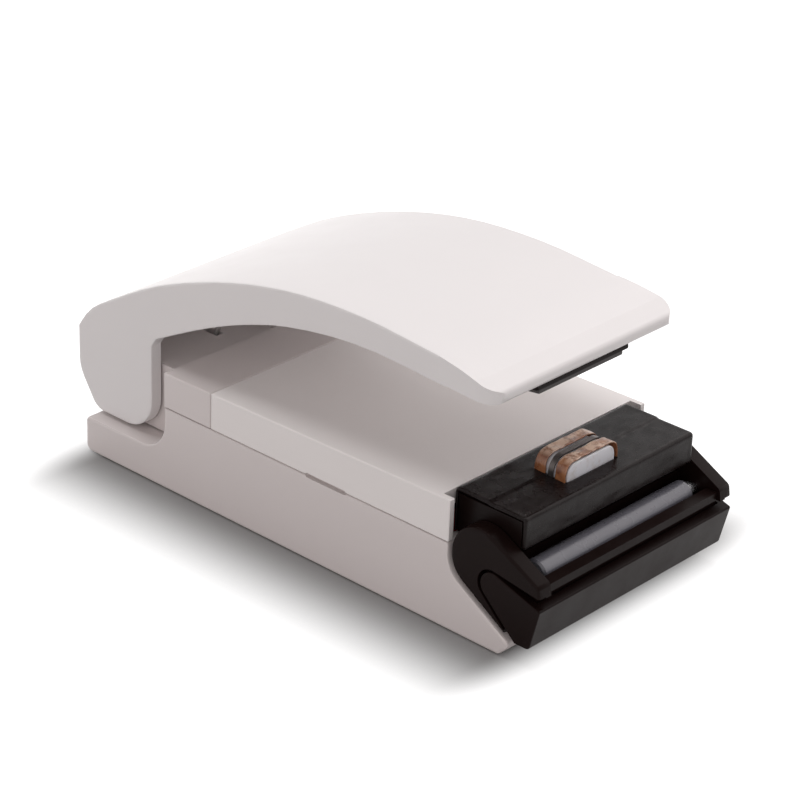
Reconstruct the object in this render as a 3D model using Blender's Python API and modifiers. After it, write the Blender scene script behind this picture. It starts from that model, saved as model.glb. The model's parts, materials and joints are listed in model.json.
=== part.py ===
"""Mini bag sealer: a hand-held heat sealer with a sprung lever, for Blender 4.5.

Metres, +Z up, +X towards the sealing end. The origin is the bottom centre of the whole part.
The lever stands open at rest. Each piece is its own object.
"""
import math

import bmesh
import bpy
from mathutils import Matrix, Vector

# Clearances and small shared sizes
FIT_GAP = 0.0003
PARTING_GAP = 0.00012
RUNNING_GAP = 0.00006
CONTACT_GAP = 0.0002
CHEEK_GAP = 0.0005
CUT_OVERRUN = 0.0010
EDGE_RADIUS = 0.0009
FINE_EDGE = 0.0003
SEAM_EDGE = 0.00012
MERGE_DISTANCE = 0.000003
FACET_ANGLE = math.radians(11.25)
SMOOTH_ANGLE = math.radians(32)
EDGE_ANGLE = math.radians(50)
FLAT_ANGLE = math.radians(0.5)
ROUND_SIDES = 24
SMALL_SIDES = 12
WIRE_SIDES_LEVEL = 1
CURVE_STEPS = 3

# Two AA cells
CELL_RADIUS = 0.00725
CELL_LENGTH = 0.0505
CELL_NUB_RADIUS = 0.00265
CELL_NUB_LENGTH = 0.0010
CELL_BASE_RADIUS = 0.0055
CELL_BASE_STEP = 0.0002
CELL_EDGE = 0.0006
CELL_GAP = 0.0008
CELL_FLOOR_GAP = 0.0004
CELL_SPRING_LENGTH = 0.0028
CELL_SPRING_RADIUS = 0.0036
CELL_SPRING_TIP_RADIUS = 0.0019
CELL_SPRING_WIRE_RADIUS = 0.00025
CELL_SPRING_TURNS = 2.5
SPRING_TURN_POINTS = 12
PLATE_THICKNESS = 0.0004
PLATE_WIDTH = 0.0110
PLATE_HEIGHT = 0.0100
PLATE_CORNER = 0.0012
PLATE_TAB_WIDTH = 0.0020
PLATE_TAB_HEIGHT = 0.0012

# Housing
HOUSING_WIDTH = 0.0440
WALL = 0.0016
FOOT_HEIGHT = 0.0060
PARTING_HEIGHT = 0.0140
DECK_REAR_HEIGHT = 0.0199
DECK_RISE = 0.0009
HOUSING_CORNER = 0.0012
NOTCH_FILLET = 0.0052
BRIDGE_LENGTH = 0.0102
RIB_THICKNESS = 0.0014
RIB_HEIGHT = 0.0062
RIB_SPACING_SHARE = 0.594
TONGUE_THICKNESS = 0.0008
TONGUE_HEIGHT = 0.0012
PRY_SLOT_LENGTH = 0.0082
PRY_SLOT_HEIGHT = 0.0008
PRY_SLOT_DEPTH = 0.0009
WIRE_GATE_WIDTH = 0.0024
WIRE_GATE_DEPTH = 0.0050
WIRE_GATE_INSET = 0.0059
WING_THICKNESS = 0.0010
COVER_RIB_DEPTH = 0.0010
COVER_RIB_COUNT = 3

# Nose under the cradle, from the side wall's front edge
NOSE_REACH = 0.0124
NOSE_HEIGHT = 0.0023
NOSE_FILLET = 0.0009
NOSE_POCKET_REACH = 0.0084
FOOT_POCKET_MARGIN = 0.0018

# Lever, open by OPEN_ANGLE
OPEN_ANGLE = math.radians(7.7)
LEVER_INSET = 0.0022
LEVER_OVERHANG = 0.0039
HINGE_SETBACK = 0.0067
HINGE_HEIGHT = 0.0140
CHEEK_REACH = 0.0062
CHEEK_THICKNESS = 0.0020
CHEEK_DROP = 0.0075
CHEEK_FRONT_FILLET = 0.0058
CHEEK_REAR_FILLET = 0.0030
CHEEK_HEEL_INSET = 0.0040
CHEEK_HEEL_RISE = 0.0060
CHEEK_HEEL_FILLET = 0.0060
CHEEK_ROOT_FILLET = 0.0010
NOTCH_GAP = 0.0051
LEVER_SKIN = 0.0018
LEVER_REAR_RISE = 0.0058
LEVER_REAR_FILLET = 0.0020
LEVER_REAR_SKIRT = 0.0083
ARCH_RISE = 0.0104
SKIRT_REAR_DEPTH = 0.0090
SKIRT_FRONT_DEPTH = 0.0043
LEVER_EDGE = 0.0008
LEVER_RIB_THICKNESS = 0.0012
LEVER_RIB_DEPTH = 0.0016

# Height of the arch above its chord, and drop of the skirt from the cheeks' front to the crease
ARCH_SHARES = ((0.036, 0.295), (0.113, 0.541), (0.212, 0.783), (0.327, 0.935), (0.455, 0.997),
               (0.588, 0.932), (0.733, 0.708), (0.860, 0.405), (0.950, 0.165))
SKIRT_SHARES = ((0.0146, 1.0), (0.1088, 0.87), (0.184, 0.73), (0.2594, 0.60), (0.3473, 0.46),
                (0.4351, 0.34), (0.5732, 0.18), (0.7113, 0.08), (0.8494, 0.04))
RIB_SHARES = (0.34, 0.52, 0.70)

# Lip across the lever's front
LIP_LENGTH = 0.0075
LIP_FORWARD = 0.0035
LIP_BROW_DROP = 0.0012
LIP_DEPTH = 0.0030
LIP_FLARE = 0.0009
LIP_CORNER = 0.0032
LIP_CREASE_RADIUS = 0.0010
LIP_BROW_RADIUS = 0.0010
LIP_CHIN_RADIUS = 0.0008
LIP_WALL = 0.0016
LIP_HOLLOW_SIDE = 0.0022

# Seal pad and its holder, laid out with the lever closed
PAD_LENGTH = 0.0188
PAD_WIDTH = 0.0026
PAD_THICKNESS = 0.0013
PAD_TOUCH_GAP = 0.0003
HOLDER_LENGTH = 0.0204
HOLDER_WIDTH = 0.0036
HOLDER_THICKNESS = 0.0007
HOLDER_RIM = 0.0005
PAD_SEAT_LENGTH = 0.0160
PAD_SEAT_WIDTH = 0.0034
PAD_SEAT_HEIGHT = 0.0013
CREASE_SETBACK = 0.0010
CREASE_LIFT = 0.0028

# Hinge, spring and switch
PIN_RADIUS = 0.0012
PIN_POCKET = 0.0012
HINGE_BLOCK_REAR = 0.0020
HINGE_BLOCK_DROP = 0.0019
HINGE_BLOCK_FILLET = 0.0030
SPRING_WIRE_RADIUS = 0.0004
SPRING_COIL_RADIUS = 0.0019
SPRING_TURNS = 5
SPRING_PITCH = 0.0014
SPRING_ARM_REACH = 0.0090
SPRING_FOOT_REACH = 0.0050
SPRING_FOOT_HEIGHT = 0.0026
SPRING_SLOT_REACH = 0.0046
SPRING_SLOT_MARGIN = 0.0008
WEB_THICKNESS = 0.0014
WEB_HALF_LENGTH = 0.0028
WEB_DROP = 0.0048
SWITCH_ARM = 0.0080
SWITCH_Y = 0.0050
SWITCH_RATIO = 0.0084
SWITCH_BODY_LENGTH = 0.0054
SWITCH_BODY_WIDTH = 0.0044
SWITCH_BODY_HEIGHT = 0.0040
SWITCH_EDGE = 0.0002
PLUNGER_RADIUS = 0.0009
PLUNGER_LIFT = 0.0017
PLUNGER_STEM = 0.0012
STRIKER_THICKNESS = 0.0016
STRIKER_WIDTH = 0.0024

# Head block, film and heating element
HEAD_REACH = 0.0172
BLOCK_DEPTH = 0.0130
BLOCK_INSET = 0.0015
BLOCK_TOP = 0.0212
BLOCK_FRONT_HEIGHT = 0.0048
BLOCK_REAR_HEIGHT = 0.0067
BLOCK_STEP_START = 0.0093
BLOCK_STEP_END = 0.0111
BLOCK_WALL = 0.0014
BLOCK_EDGE = 0.0007
FILM_THICKNESS = 0.00035
FILM_LAP_STEP = 0.00018
FILM_LAP_RAMP = 0.0003
FILM_SIDE_INSET = 0.0002
FILM_WINDOW_MARGIN = 0.0002
CREASE_SHARE = 0.49
ELEMENT_OFFSET = 0.0005
ELEMENT_SHIFT = 0.0010
CORE_LENGTH = 0.0106
CORE_DEPTH = 0.0056
CORE_RISE = 0.0024
CORE_END_FILLET = 0.0018
BAND_THICKNESS = 0.00035
BAND_GAP = 0.0005
RIBBON_WIDTH = 0.0009
RIBBON_THICKNESS = 0.0002

# Front cradle, from the side wall's front edge
CRADLE_SETBACK = 0.0006
CRADLE_TOP_HEIGHT = 0.0219
CRADLE_CORNER_SHARE = 0.448
CRADLE_HEEL_HEIGHT = 0.0103
CRADLE_HEEL_FILLET = 0.0045
CRADLE_TOE_REACH = 0.0136
CRADLE_TOE_HEIGHT = 0.0022
CRADLE_TOE_FILLET = 0.0013
CRADLE_CHIN_REACH = 0.0156
CRADLE_CHIN_HEIGHT = 0.0031
CRADLE_CHIN_FILLET = 0.0008
CRADLE_BROW_INSET = 0.0005
CRADLE_BROW_HEIGHT = 0.0135
CRADLE_BROW_FILLET = 0.0009
CRADLE_WALL = 0.0026
CRADLE_EDGE = 0.0004
LEDGE_HEIGHT = 0.0104
SHELF_HEIGHT = 0.0142
SHELF_THICKNESS = 0.0016
SHELF_WINDOW_LENGTH = 0.0036
SHELF_WINDOW_WIDTH = 0.0100
TROUGH_WALL = 0.0012
TROUGH_GAP = 0.0004
FRONT_WALL_TOP = 0.0129
FRONT_WALL_INSET = 0.0009
GROOVE_TOP = 0.0116

# Cover on the cradle's front and sides
COVER_THICKNESS = 0.0015
ARM_THICKNESS = 0.0012
ARM_TIP_REACH = 0.0173
ARM_TIP_HEIGHT = 0.0153
ARM_TIP_RADIUS = 0.0022
ARM_FOOT_REACH = 0.0043
ARM_FOOT_HEIGHT = 0.0031
ARM_FRONT_HEIGHT = 0.0099
COVER_FLANGE = 0.0014
RECESS_TIP_AHEAD = 0.0010
RECESS_TIP_DROP = 0.0013

# Guide roller and axle
ROLLER_RADIUS = 0.0021
ROLLER_END_ROOM = 0.0024
ROLLER_SETBACK = 0.0054
ROLLER_HEIGHT = 0.0120
ROLLER_EDGE = 0.0003
AXLE_RADIUS = 0.0009
AXLE_COLLAR_RADIUS = 0.0014
AXLE_COLLAR_LENGTH = 0.0009
AXLE_POCKET = 0.0007

# Screws and wires
SCREW_HEAD_RADIUS = 0.0018
SCREW_HEAD_HEIGHT = 0.0011
SCREW_SHANK_RADIUS = 0.0009
SCREW_BITE = 0.0042
SCREW_POINT = 0.0008
SCREW_RECESS = 0.0006
SCREW_SLOT_WIDTH = 0.0005
SCREW_SLOT_DEPTH = 0.0005
SCREW_SHOULDER = 0.0015
SCREW_REAR_SPREAD = 0.0210
SCREW_FRONT_SPREAD = 0.0260
SCREW_REAR_REACH = 0.0065
SCREW_FRONT_REACH = 0.0046
BOSS_RADIUS = 0.0024
PAD_RADIUS = 0.0028
WIRE_RADIUS = 0.0006
WIRE_LANE_INSET = 0.0028
WIRE_LANE_STEP = 0.0018
WIRE_HEIGHT = 0.0032
WIRE_SPACING = 0.0015
WIRE_FRONT_SETBACK = 0.0010
WIRE_TURN = 0.0014
WIRE_HEAD_SPREAD = 0.0030
WIRE_HEAD_TURN = 0.0060

# Places along X, chained from the lever's rear to the cradle's front
BAY_LENGTH = CELL_LENGTH + CELL_SPRING_LENGTH + 2 * PLATE_THICKNESS + 5 * CONTACT_GAP
TOTAL_LENGTH = (LEVER_OVERHANG + HINGE_SETBACK + CHEEK_REACH + NOTCH_GAP + WALL + BAY_LENGTH + WALL
                + HEAD_REACH)
REAR_X = -TOTAL_LENGTH / 2
FOOT_X = REAR_X + LEVER_OVERHANG
HINGE_X = FOOT_X + HINGE_SETBACK
CHEEK_FRONT_X = HINGE_X + CHEEK_REACH
NOTCH_X = CHEEK_FRONT_X + NOTCH_GAP
BAY_REAR_X = NOTCH_X + WALL
BAY_FRONT_X = BAY_REAR_X + BAY_LENGTH
BAY_X = (BAY_REAR_X + BAY_FRONT_X) / 2
WALL_FRONT_X = BAY_FRONT_X + WALL
FRONT_X = WALL_FRONT_X + HEAD_REACH
SEAM_X = NOTCH_X + BRIDGE_LENGTH

# Half widths and heights that follow
HALF_WIDTH = HOUSING_WIDTH / 2
INNER_HALF_WIDTH = HALF_WIDTH - WALL
WIRE_LANE = INNER_HALF_WIDTH - WIRE_LANE_INSET
WIRE_INNER_LANE = WIRE_LANE - WIRE_LANE_STEP
WIRE_GATE_Y = INNER_HALF_WIDTH - WIRE_GATE_INSET
OUTSIDE_Y = HALF_WIDTH + CUT_OVERRUN
LEVER_HALF_WIDTH = HALF_WIDTH - LEVER_INSET
CHEEK_INNER_Y = LEVER_HALF_WIDTH - CHEEK_THICKNESS
HINGE_BLOCK_Y = CHEEK_INNER_Y - CHEEK_GAP
HINGE_BLOCK_TOP = DECK_REAR_HEIGHT - HINGE_BLOCK_DROP
DECK_FRONT_HEIGHT = DECK_REAR_HEIGHT + DECK_RISE
TOP_PARTING = PARTING_HEIGHT + PARTING_GAP
CELL_Y = CELL_RADIUS + CELL_GAP / 2
CELL_Z = WALL + CELL_FLOOR_GAP + CELL_RADIUS
NEAR_Z = -CUT_OVERRUN

# Head block and element
BLOCK_REAR_X = WALL_FRONT_X - BLOCK_INSET
BLOCK_FRONT_X = BLOCK_REAR_X + BLOCK_DEPTH
BLOCK_X = (BLOCK_REAR_X + BLOCK_FRONT_X) / 2
FILM_ROOM = FILM_THICKNESS + FIT_GAP
ELEMENT_X = BLOCK_X + ELEMENT_OFFSET
CORE_FOOT = BLOCK_TOP - FILM_ROOM + FIT_GAP
CORE_TOP = BLOCK_TOP + CORE_RISE
ELEMENT_TOP = CORE_TOP + FIT_GAP + BAND_THICKNESS

# Pad place with the lever closed, and the same place with it open
HINGE = Vector((HINGE_X, 0.0, HINGE_HEIGHT))
PAD_FACE = Vector((ELEMENT_X, 0.0, ELEMENT_TOP + PAD_TOUCH_GAP))
OPENING = Matrix.Translation(HINGE) @ Matrix.Rotation(-OPEN_ANGLE, 4, "Y") @ Matrix.Translation(-HINGE)
PAD_FACE_OPEN = OPENING @ PAD_FACE
HOLDER_FOOT = PAD_FACE.z + PAD_THICKNESS - HOLDER_RIM
HOLDER_TOP = PAD_FACE.z + PAD_THICKNESS + CONTACT_GAP + HOLDER_THICKNESS
SEAT_FOOT = HOLDER_TOP + CONTACT_GAP
CREASE_X = PAD_FACE_OPEN.x - CREASE_SETBACK
CREASE_HEIGHT = (OPENING @ Vector((ELEMENT_X, 0.0, SEAT_FOOT))).z + CREASE_LIFT
LEVER_REAR_HEIGHT = HINGE_HEIGHT + LEVER_REAR_RISE
LIP_FRONT_X = CREASE_X + LIP_FORWARD
LIP_REAR_X = CREASE_X - LIP_LENGTH
LIP_BOTTOM = CREASE_HEIGHT - LIP_DEPTH

# Cradle and roller
CRADLE_X = WALL_FRONT_X + CRADLE_SETBACK
CHIN_X = WALL_FRONT_X + CRADLE_CHIN_REACH
TOE_X = WALL_FRONT_X + CRADLE_TOE_REACH
CRADLE_INNER_Y = HALF_WIDTH - CRADLE_WALL
CRADLE_CORNER = CRADLE_CORNER_SHARE * (CRADLE_TOP_HEIGHT - CRADLE_HEEL_HEIGHT)
BLOCK_HALF_LENGTH = CRADLE_INNER_Y - FIT_GAP
ROLLER_HALF_LENGTH = CRADLE_INNER_Y - ROLLER_END_ROOM
ROLLER_X = FRONT_X - ROLLER_SETBACK
TROUGH_REAR_X = ROLLER_X - ROLLER_RADIUS - TROUGH_GAP
TROUGH_FRONT_X = ROLLER_X + ROLLER_RADIUS + TROUGH_GAP
TROUGH_FLOOR = ROLLER_HEIGHT - ROLLER_RADIUS - TROUGH_GAP
FRONT_WALL_X = FRONT_X - FRONT_WALL_INSET
SCREW_REAR_X = HINGE_X + SCREW_REAR_REACH
SCREW_FRONT_X = WALL_FRONT_X + SCREW_FRONT_REACH
PAD_TOP = SCREW_RECESS + SCREW_HEAD_HEIGHT + FIT_GAP + SCREW_SHOULDER
BOSS_FOOT = PAD_TOP + FIT_GAP

PARTS = "mini_bag_sealer"
CUTTERS = "cutters"


def start():
    """Empty the scene and make the two collections."""
    for thing in list(bpy.data.objects):
        bpy.data.objects.remove(thing, do_unlink=True)
    for name in (PARTS, CUTTERS):
        group = bpy.data.collections.new(name)
        bpy.context.scene.collection.children.link(group)


def finish(name, colour, roughness, metallic=0.0):
    """A Principled material."""
    material = bpy.data.materials.new(name)
    material.use_nodes = True
    shader = material.node_tree.nodes["Principled BSDF"]
    shader.inputs["Base Color"].default_value = (*colour, 1.0)
    shader.inputs["Roughness"].default_value = roughness
    shader.inputs["Metallic"].default_value = metallic
    material.diffuse_color = (*colour, 1.0)
    return material


def arc(centre, radius, first, last):
    """Points on an arc from one angle to another, both ends included."""
    steps = max(2, math.ceil(abs(last - first) / FACET_ANGLE))
    angles = [first + (last - first) * step / steps for step in range(steps + 1)]
    return [(centre[0] + radius * math.cos(a), centre[1] + radius * math.sin(a)) for a in angles]


def rounded(corners, closed=True):
    """An outline through (x, y, radius) corners, with an arc in place of each rounded one."""
    points = []
    count = len(corners)
    for index, (x, y, radius) in enumerate(corners):
        inside = closed or 0 < index < count - 1
        if radius <= 0 or not inside:
            points.append((x, y))
            continue
        here = Vector((x, y))
        back = (Vector(corners[index - 1][:2]) - here).normalized()
        ahead = (Vector(corners[(index + 1) % count][:2]) - here).normalized()
        half = math.acos(max(-1.0, min(1.0, back.dot(ahead)))) / 2
        middle = (back + ahead).normalized()
        centre = here + middle * radius / math.sin(half)
        foot_in = here + back * radius / math.tan(half) - centre
        foot_out = here + ahead * radius / math.tan(half) - centre
        first = math.atan2(foot_in.y, foot_in.x)
        turn = math.atan2(foot_in.x * foot_out.y - foot_in.y * foot_out.x, foot_in.dot(foot_out))
        points.extend(arc(centre, radius, first, first + turn))
    return points


def smooth_through(knots, steps):
    """A Catmull-Rom curve through 2D knots."""
    ends = [knots[0]] + list(knots) + [knots[-1]]
    points = []
    for a, b, c, d in zip(ends, ends[1:], ends[2:], ends[3:]):
        for step in range(steps):
            t = step / steps
            points.append(tuple(
                0.5 * (2 * q + (r - p) * t + (2 * p - 5 * q + 4 * r - s) * t ** 2
                       + (3 * q - p - 3 * r + s) * t ** 3)
                for p, q, r, s in zip(a, b, c, d)))
    points.append(tuple(knots[-1]))
    return points


def beside(points, distance):
    """An open path moved sideways, to its right for a positive distance."""
    moved = []
    for index, point in enumerate(points):
        before = Vector(points[max(index - 1, 0)])
        after = Vector(points[min(index + 1, len(points) - 1)])
        along = (after - before).normalized()
        moved.append((point[0] + along.y * distance, point[1] - along.x * distance))
    return moved


def height_at(points, x):
    """Height of a rising path of points at x."""
    for (x0, z0), (x1, z1) in zip(points, points[1:]):
        if x0 <= x <= x1:
            return z0 + (z1 - z0) * (x - x0) / (x1 - x0)
    return points[-1][1]


def place(thing, name, material, group):
    """Name an object, give it a finish and file it."""
    thing.name = name
    thing.data.name = name
    for holder in list(thing.users_collection):
        holder.objects.unlink(thing)
    bpy.data.collections[group].objects.link(thing)
    if material:
        thing.data.materials.clear()
        thing.data.materials.append(material)
    if group == CUTTERS:
        thing.hide_render = True
        thing.display_type = "WIRE"
    thing.data.shade_smooth()
    thing.data.set_sharp_from_angle(angle=SMOOTH_ANGLE)
    return thing


def close_up(mesh, merge_flat):
    """Weld a mesh's doubled points, make its flat faces whole and turn them outwards."""
    shape = bmesh.new()
    shape.from_mesh(mesh)
    bmesh.ops.remove_doubles(shape, verts=shape.verts, dist=MERGE_DISTANCE)
    if merge_flat:
        bmesh.ops.dissolve_limit(shape, angle_limit=FLAT_ANGLE, verts=shape.verts, edges=shape.edges)
    bmesh.ops.recalc_face_normals(shape, faces=shape.faces)
    shape.to_mesh(mesh)
    shape.free()


def mesh_of(curve):
    """The closed mesh of a curve object, which is then removed."""
    graph = bpy.context.evaluated_depsgraph_get()
    mesh = bpy.data.meshes.new_from_object(curve.evaluated_get(graph))
    close_up(mesh, curve.data.dimensions == "2D")
    mesh.transform(curve.matrix_world)
    data = curve.data
    bpy.data.objects.remove(curve)
    bpy.data.curves.remove(data)
    return mesh


AXES = {
    "Y": Matrix(((1, 0, 0, 0), (0, 0, -1, 0), (0, 1, 0, 0), (0, 0, 0, 1))),
    "Z": Matrix.Identity(4),
    "X": Matrix(((0, 0, 1, 0), (1, 0, 0, 0), (0, 1, 0, 0), (0, 0, 0, 1))),
}


def slab(name, outline, low, high, along="Y", material=None, group=PARTS):
    """A flat outline extruded from low to high. Its plane is XZ, YZ or XY."""
    curve = bpy.data.curves.new(name, "CURVE")
    curve.dimensions = "2D"
    curve.fill_mode = "BOTH"
    curve.extrude = (high - low) / 2
    line = curve.splines.new("POLY")
    line.points.add(len(outline) - 1)
    for point, (x, y) in zip(line.points, outline):
        point.co = (x, y, 0.0, 1.0)
    line.use_cyclic_u = True
    holder = bpy.data.objects.new(name, curve)
    bpy.context.scene.collection.objects.link(holder)
    middle = (low + high) / 2
    shift = {"X": (middle, 0, 0), "Y": (0, middle, 0), "Z": (0, 0, middle)}[along]
    holder.matrix_world = Matrix.Translation(shift) @ AXES[along]
    bpy.context.view_layer.update()
    piece = bpy.data.objects.new(name, mesh_of(holder))
    bpy.context.scene.collection.objects.link(piece)
    return place(piece, name, material, group)


def box(name, low, high, material=None, group=PARTS):
    """A block from its low corner to its high corner."""
    bpy.ops.mesh.primitive_cube_add(size=1)
    piece = bpy.context.object
    low, high = Vector(low), Vector(high)
    piece.data.transform(Matrix.Translation((low + high) / 2) @ Matrix.Diagonal((*(high - low), 1)))
    return place(piece, name, material, group)


def rod(name, centre, radius, length, along="Y", sides=ROUND_SIDES, material=None, group=PARTS):
    """A cylinder about a centre, along X, Y or Z."""
    bpy.ops.mesh.primitive_cylinder_add(vertices=sides, radius=radius, depth=length)
    piece = bpy.context.object
    piece.data.transform(Matrix.Translation(centre) @ AXES[along])
    return place(piece, name, material, group)


def turned(name, profile, centre, along, material=None, group=PARTS, sides=ROUND_SIDES):
    """A profile of (radius, height) points, top to bottom, turned about an axis."""
    mesh = bpy.data.meshes.new(name)
    mesh.from_pydata([(radius, 0, height) for radius, height in profile],
                     [(i, i + 1) for i in range(len(profile) - 1)], [])
    piece = bpy.data.objects.new(name, mesh)
    bpy.context.scene.collection.objects.link(piece)
    screw = piece.modifiers.new("turn", "SCREW")
    screw.steps = sides
    screw.render_steps = sides
    screw.use_merge_vertices = True
    screw.merge_threshold = MERGE_DISTANCE
    graph = bpy.context.evaluated_depsgraph_get()
    solid = bpy.data.meshes.new_from_object(piece.evaluated_get(graph))
    piece.modifiers.clear()
    piece.data = solid
    close_up(solid, False)
    solid.transform(Matrix.Translation(centre) @ AXES[along])
    bpy.data.meshes.remove(mesh)
    return place(piece, name, material, group)


def tube(name, route, radius, material, group=PARTS):
    """A wire along a list of 3D points."""
    curve = bpy.data.curves.new(name, "CURVE")
    curve.dimensions = "3D"
    curve.bevel_depth = radius
    curve.bevel_resolution = WIRE_SIDES_LEVEL
    curve.use_fill_caps = True
    line = curve.splines.new("POLY")
    line.points.add(len(route) - 1)
    for point, place_on_route in zip(line.points, route):
        point.co = (*place_on_route, 1.0)
    holder = bpy.data.objects.new(name, curve)
    bpy.context.scene.collection.objects.link(holder)
    bpy.context.view_layer.update()
    piece = bpy.data.objects.new(name, mesh_of(holder))
    bpy.context.scene.collection.objects.link(piece)
    return place(piece, name, material, group)


def round_edges(piece, width, segments=2):
    """Bevel the sharp edges."""
    bevel = piece.modifiers.new("round edges", "BEVEL")
    bevel.width = width
    bevel.segments = segments
    bevel.limit_method = "ANGLE"
    bevel.angle_limit = EDGE_ANGLE
    return piece


def combine(piece, other, operation):
    """Cut, join or intersect with another object by a Boolean."""
    change = piece.modifiers.new(other.name, "BOOLEAN")
    change.operation = operation
    change.object = other
    change.solver = "EXACT"
    return piece


def cut(piece, *others):
    for other in others:
        combine(piece, other, "DIFFERENCE")
    return piece


def join(piece, *others):
    for other in others:
        combine(piece, other, "UNION")
    return piece


def cutter_slab(name, outline, low, high, along="Y"):
    return slab(name, outline, low, high, along, group=CUTTERS)


def cutter_box(name, low, high):
    return box(name, low, high, group=CUTTERS)


def cutter_rod(name, centre, radius, length, along="Y", sides=ROUND_SIDES):
    return rod(name, centre, radius, length, along, sides, group=CUTTERS)


def pivot(name, location, pieces):
    """An empty on a joint's axis that carries the moving pieces."""
    empty = bpy.data.objects.new(name, None)
    bpy.data.collections[PARTS].objects.link(empty)
    empty.location = location
    bpy.context.view_layer.update()
    for piece in pieces:
        piece.parent = empty
        piece.matrix_parent_inverse = empty.matrix_world.inverted()
    return empty


def cutter_slab(name, outline, low, high, along="Y"):
    return slab(name, outline, low, high, along, group=CUTTERS)


def cutter_box(name, low, high):
    return box(name, low, high, group=CUTTERS)


def cutter_rod(name, centre, radius, length, along="Y", sides=ROUND_SIDES):
    return rod(name, centre, radius, length, along, sides, group=CUTTERS)


def side_box(name, x_range, side, y_range, z_range):
    """A cutter block on one side of the middle plane."""
    low, high = sorted((side * y_range[0], side * y_range[1]))
    return cutter_box(name, (x_range[0], low, z_range[0]), (x_range[1], high, z_range[1]))


def pivot(name, location, pieces):
    """An empty on a joint's axis that carries the moving pieces."""
    empty = bpy.data.objects.new(name, None)
    bpy.data.collections[PARTS].objects.link(empty)
    empty.location = location
    bpy.context.view_layer.update()
    for piece in pieces:
        piece.parent = empty
        piece.matrix_parent_inverse = empty.matrix_world.inverted()
    return empty


SIDES = (("left", -1), ("right", 1))


def screw_places():
    """Name, x, y and top of each housing screw."""
    rear, front = SCREW_REAR_SPREAD / 2, SCREW_FRONT_SPREAD / 2
    return [("rear_left", SCREW_REAR_X, -rear), ("rear_right", SCREW_REAR_X, rear),
            ("front_left", SCREW_FRONT_X, -front), ("front_right", SCREW_FRONT_X, front)]


def screw_hole(name, x, y):
    """A stepped hole for a screw from below."""
    shank = SCREW_SHANK_RADIUS + RUNNING_GAP
    head = SCREW_HEAD_RADIUS + FIT_GAP
    seat = SCREW_RECESS + SCREW_HEAD_HEIGHT + FIT_GAP
    top = PAD_TOP + SCREW_BITE + FIT_GAP
    profile = [(0, top), (shank, top), (shank, seat), (head, seat), (head, NEAR_Z), (0, NEAR_Z)]
    return turned(name, profile, (x, y, 0), "Z", group=CUTTERS, sides=SMALL_SIDES)


def pry_slot(name, side):
    """A blind stadium slot in one side wall, at the parting line."""
    middle_x = (SEAM_X + WALL_FRONT_X) / 2
    middle_z = PARTING_HEIGHT + PARTING_GAP / 2
    along, up = PRY_SLOT_LENGTH / 2, PRY_SLOT_HEIGHT / 2
    corners = [(middle_x - along, middle_z - up), (middle_x + along, middle_z - up),
               (middle_x + along, middle_z + up), (middle_x - along, middle_z + up)]
    radius = up - SEAM_EDGE / 2
    low, high = sorted((side * (HALF_WIDTH - PRY_SLOT_DEPTH), side * OUTSIDE_Y))
    return cutter_slab(name, rounded([(x, z, radius) for x, z in corners]), low, high)


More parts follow.
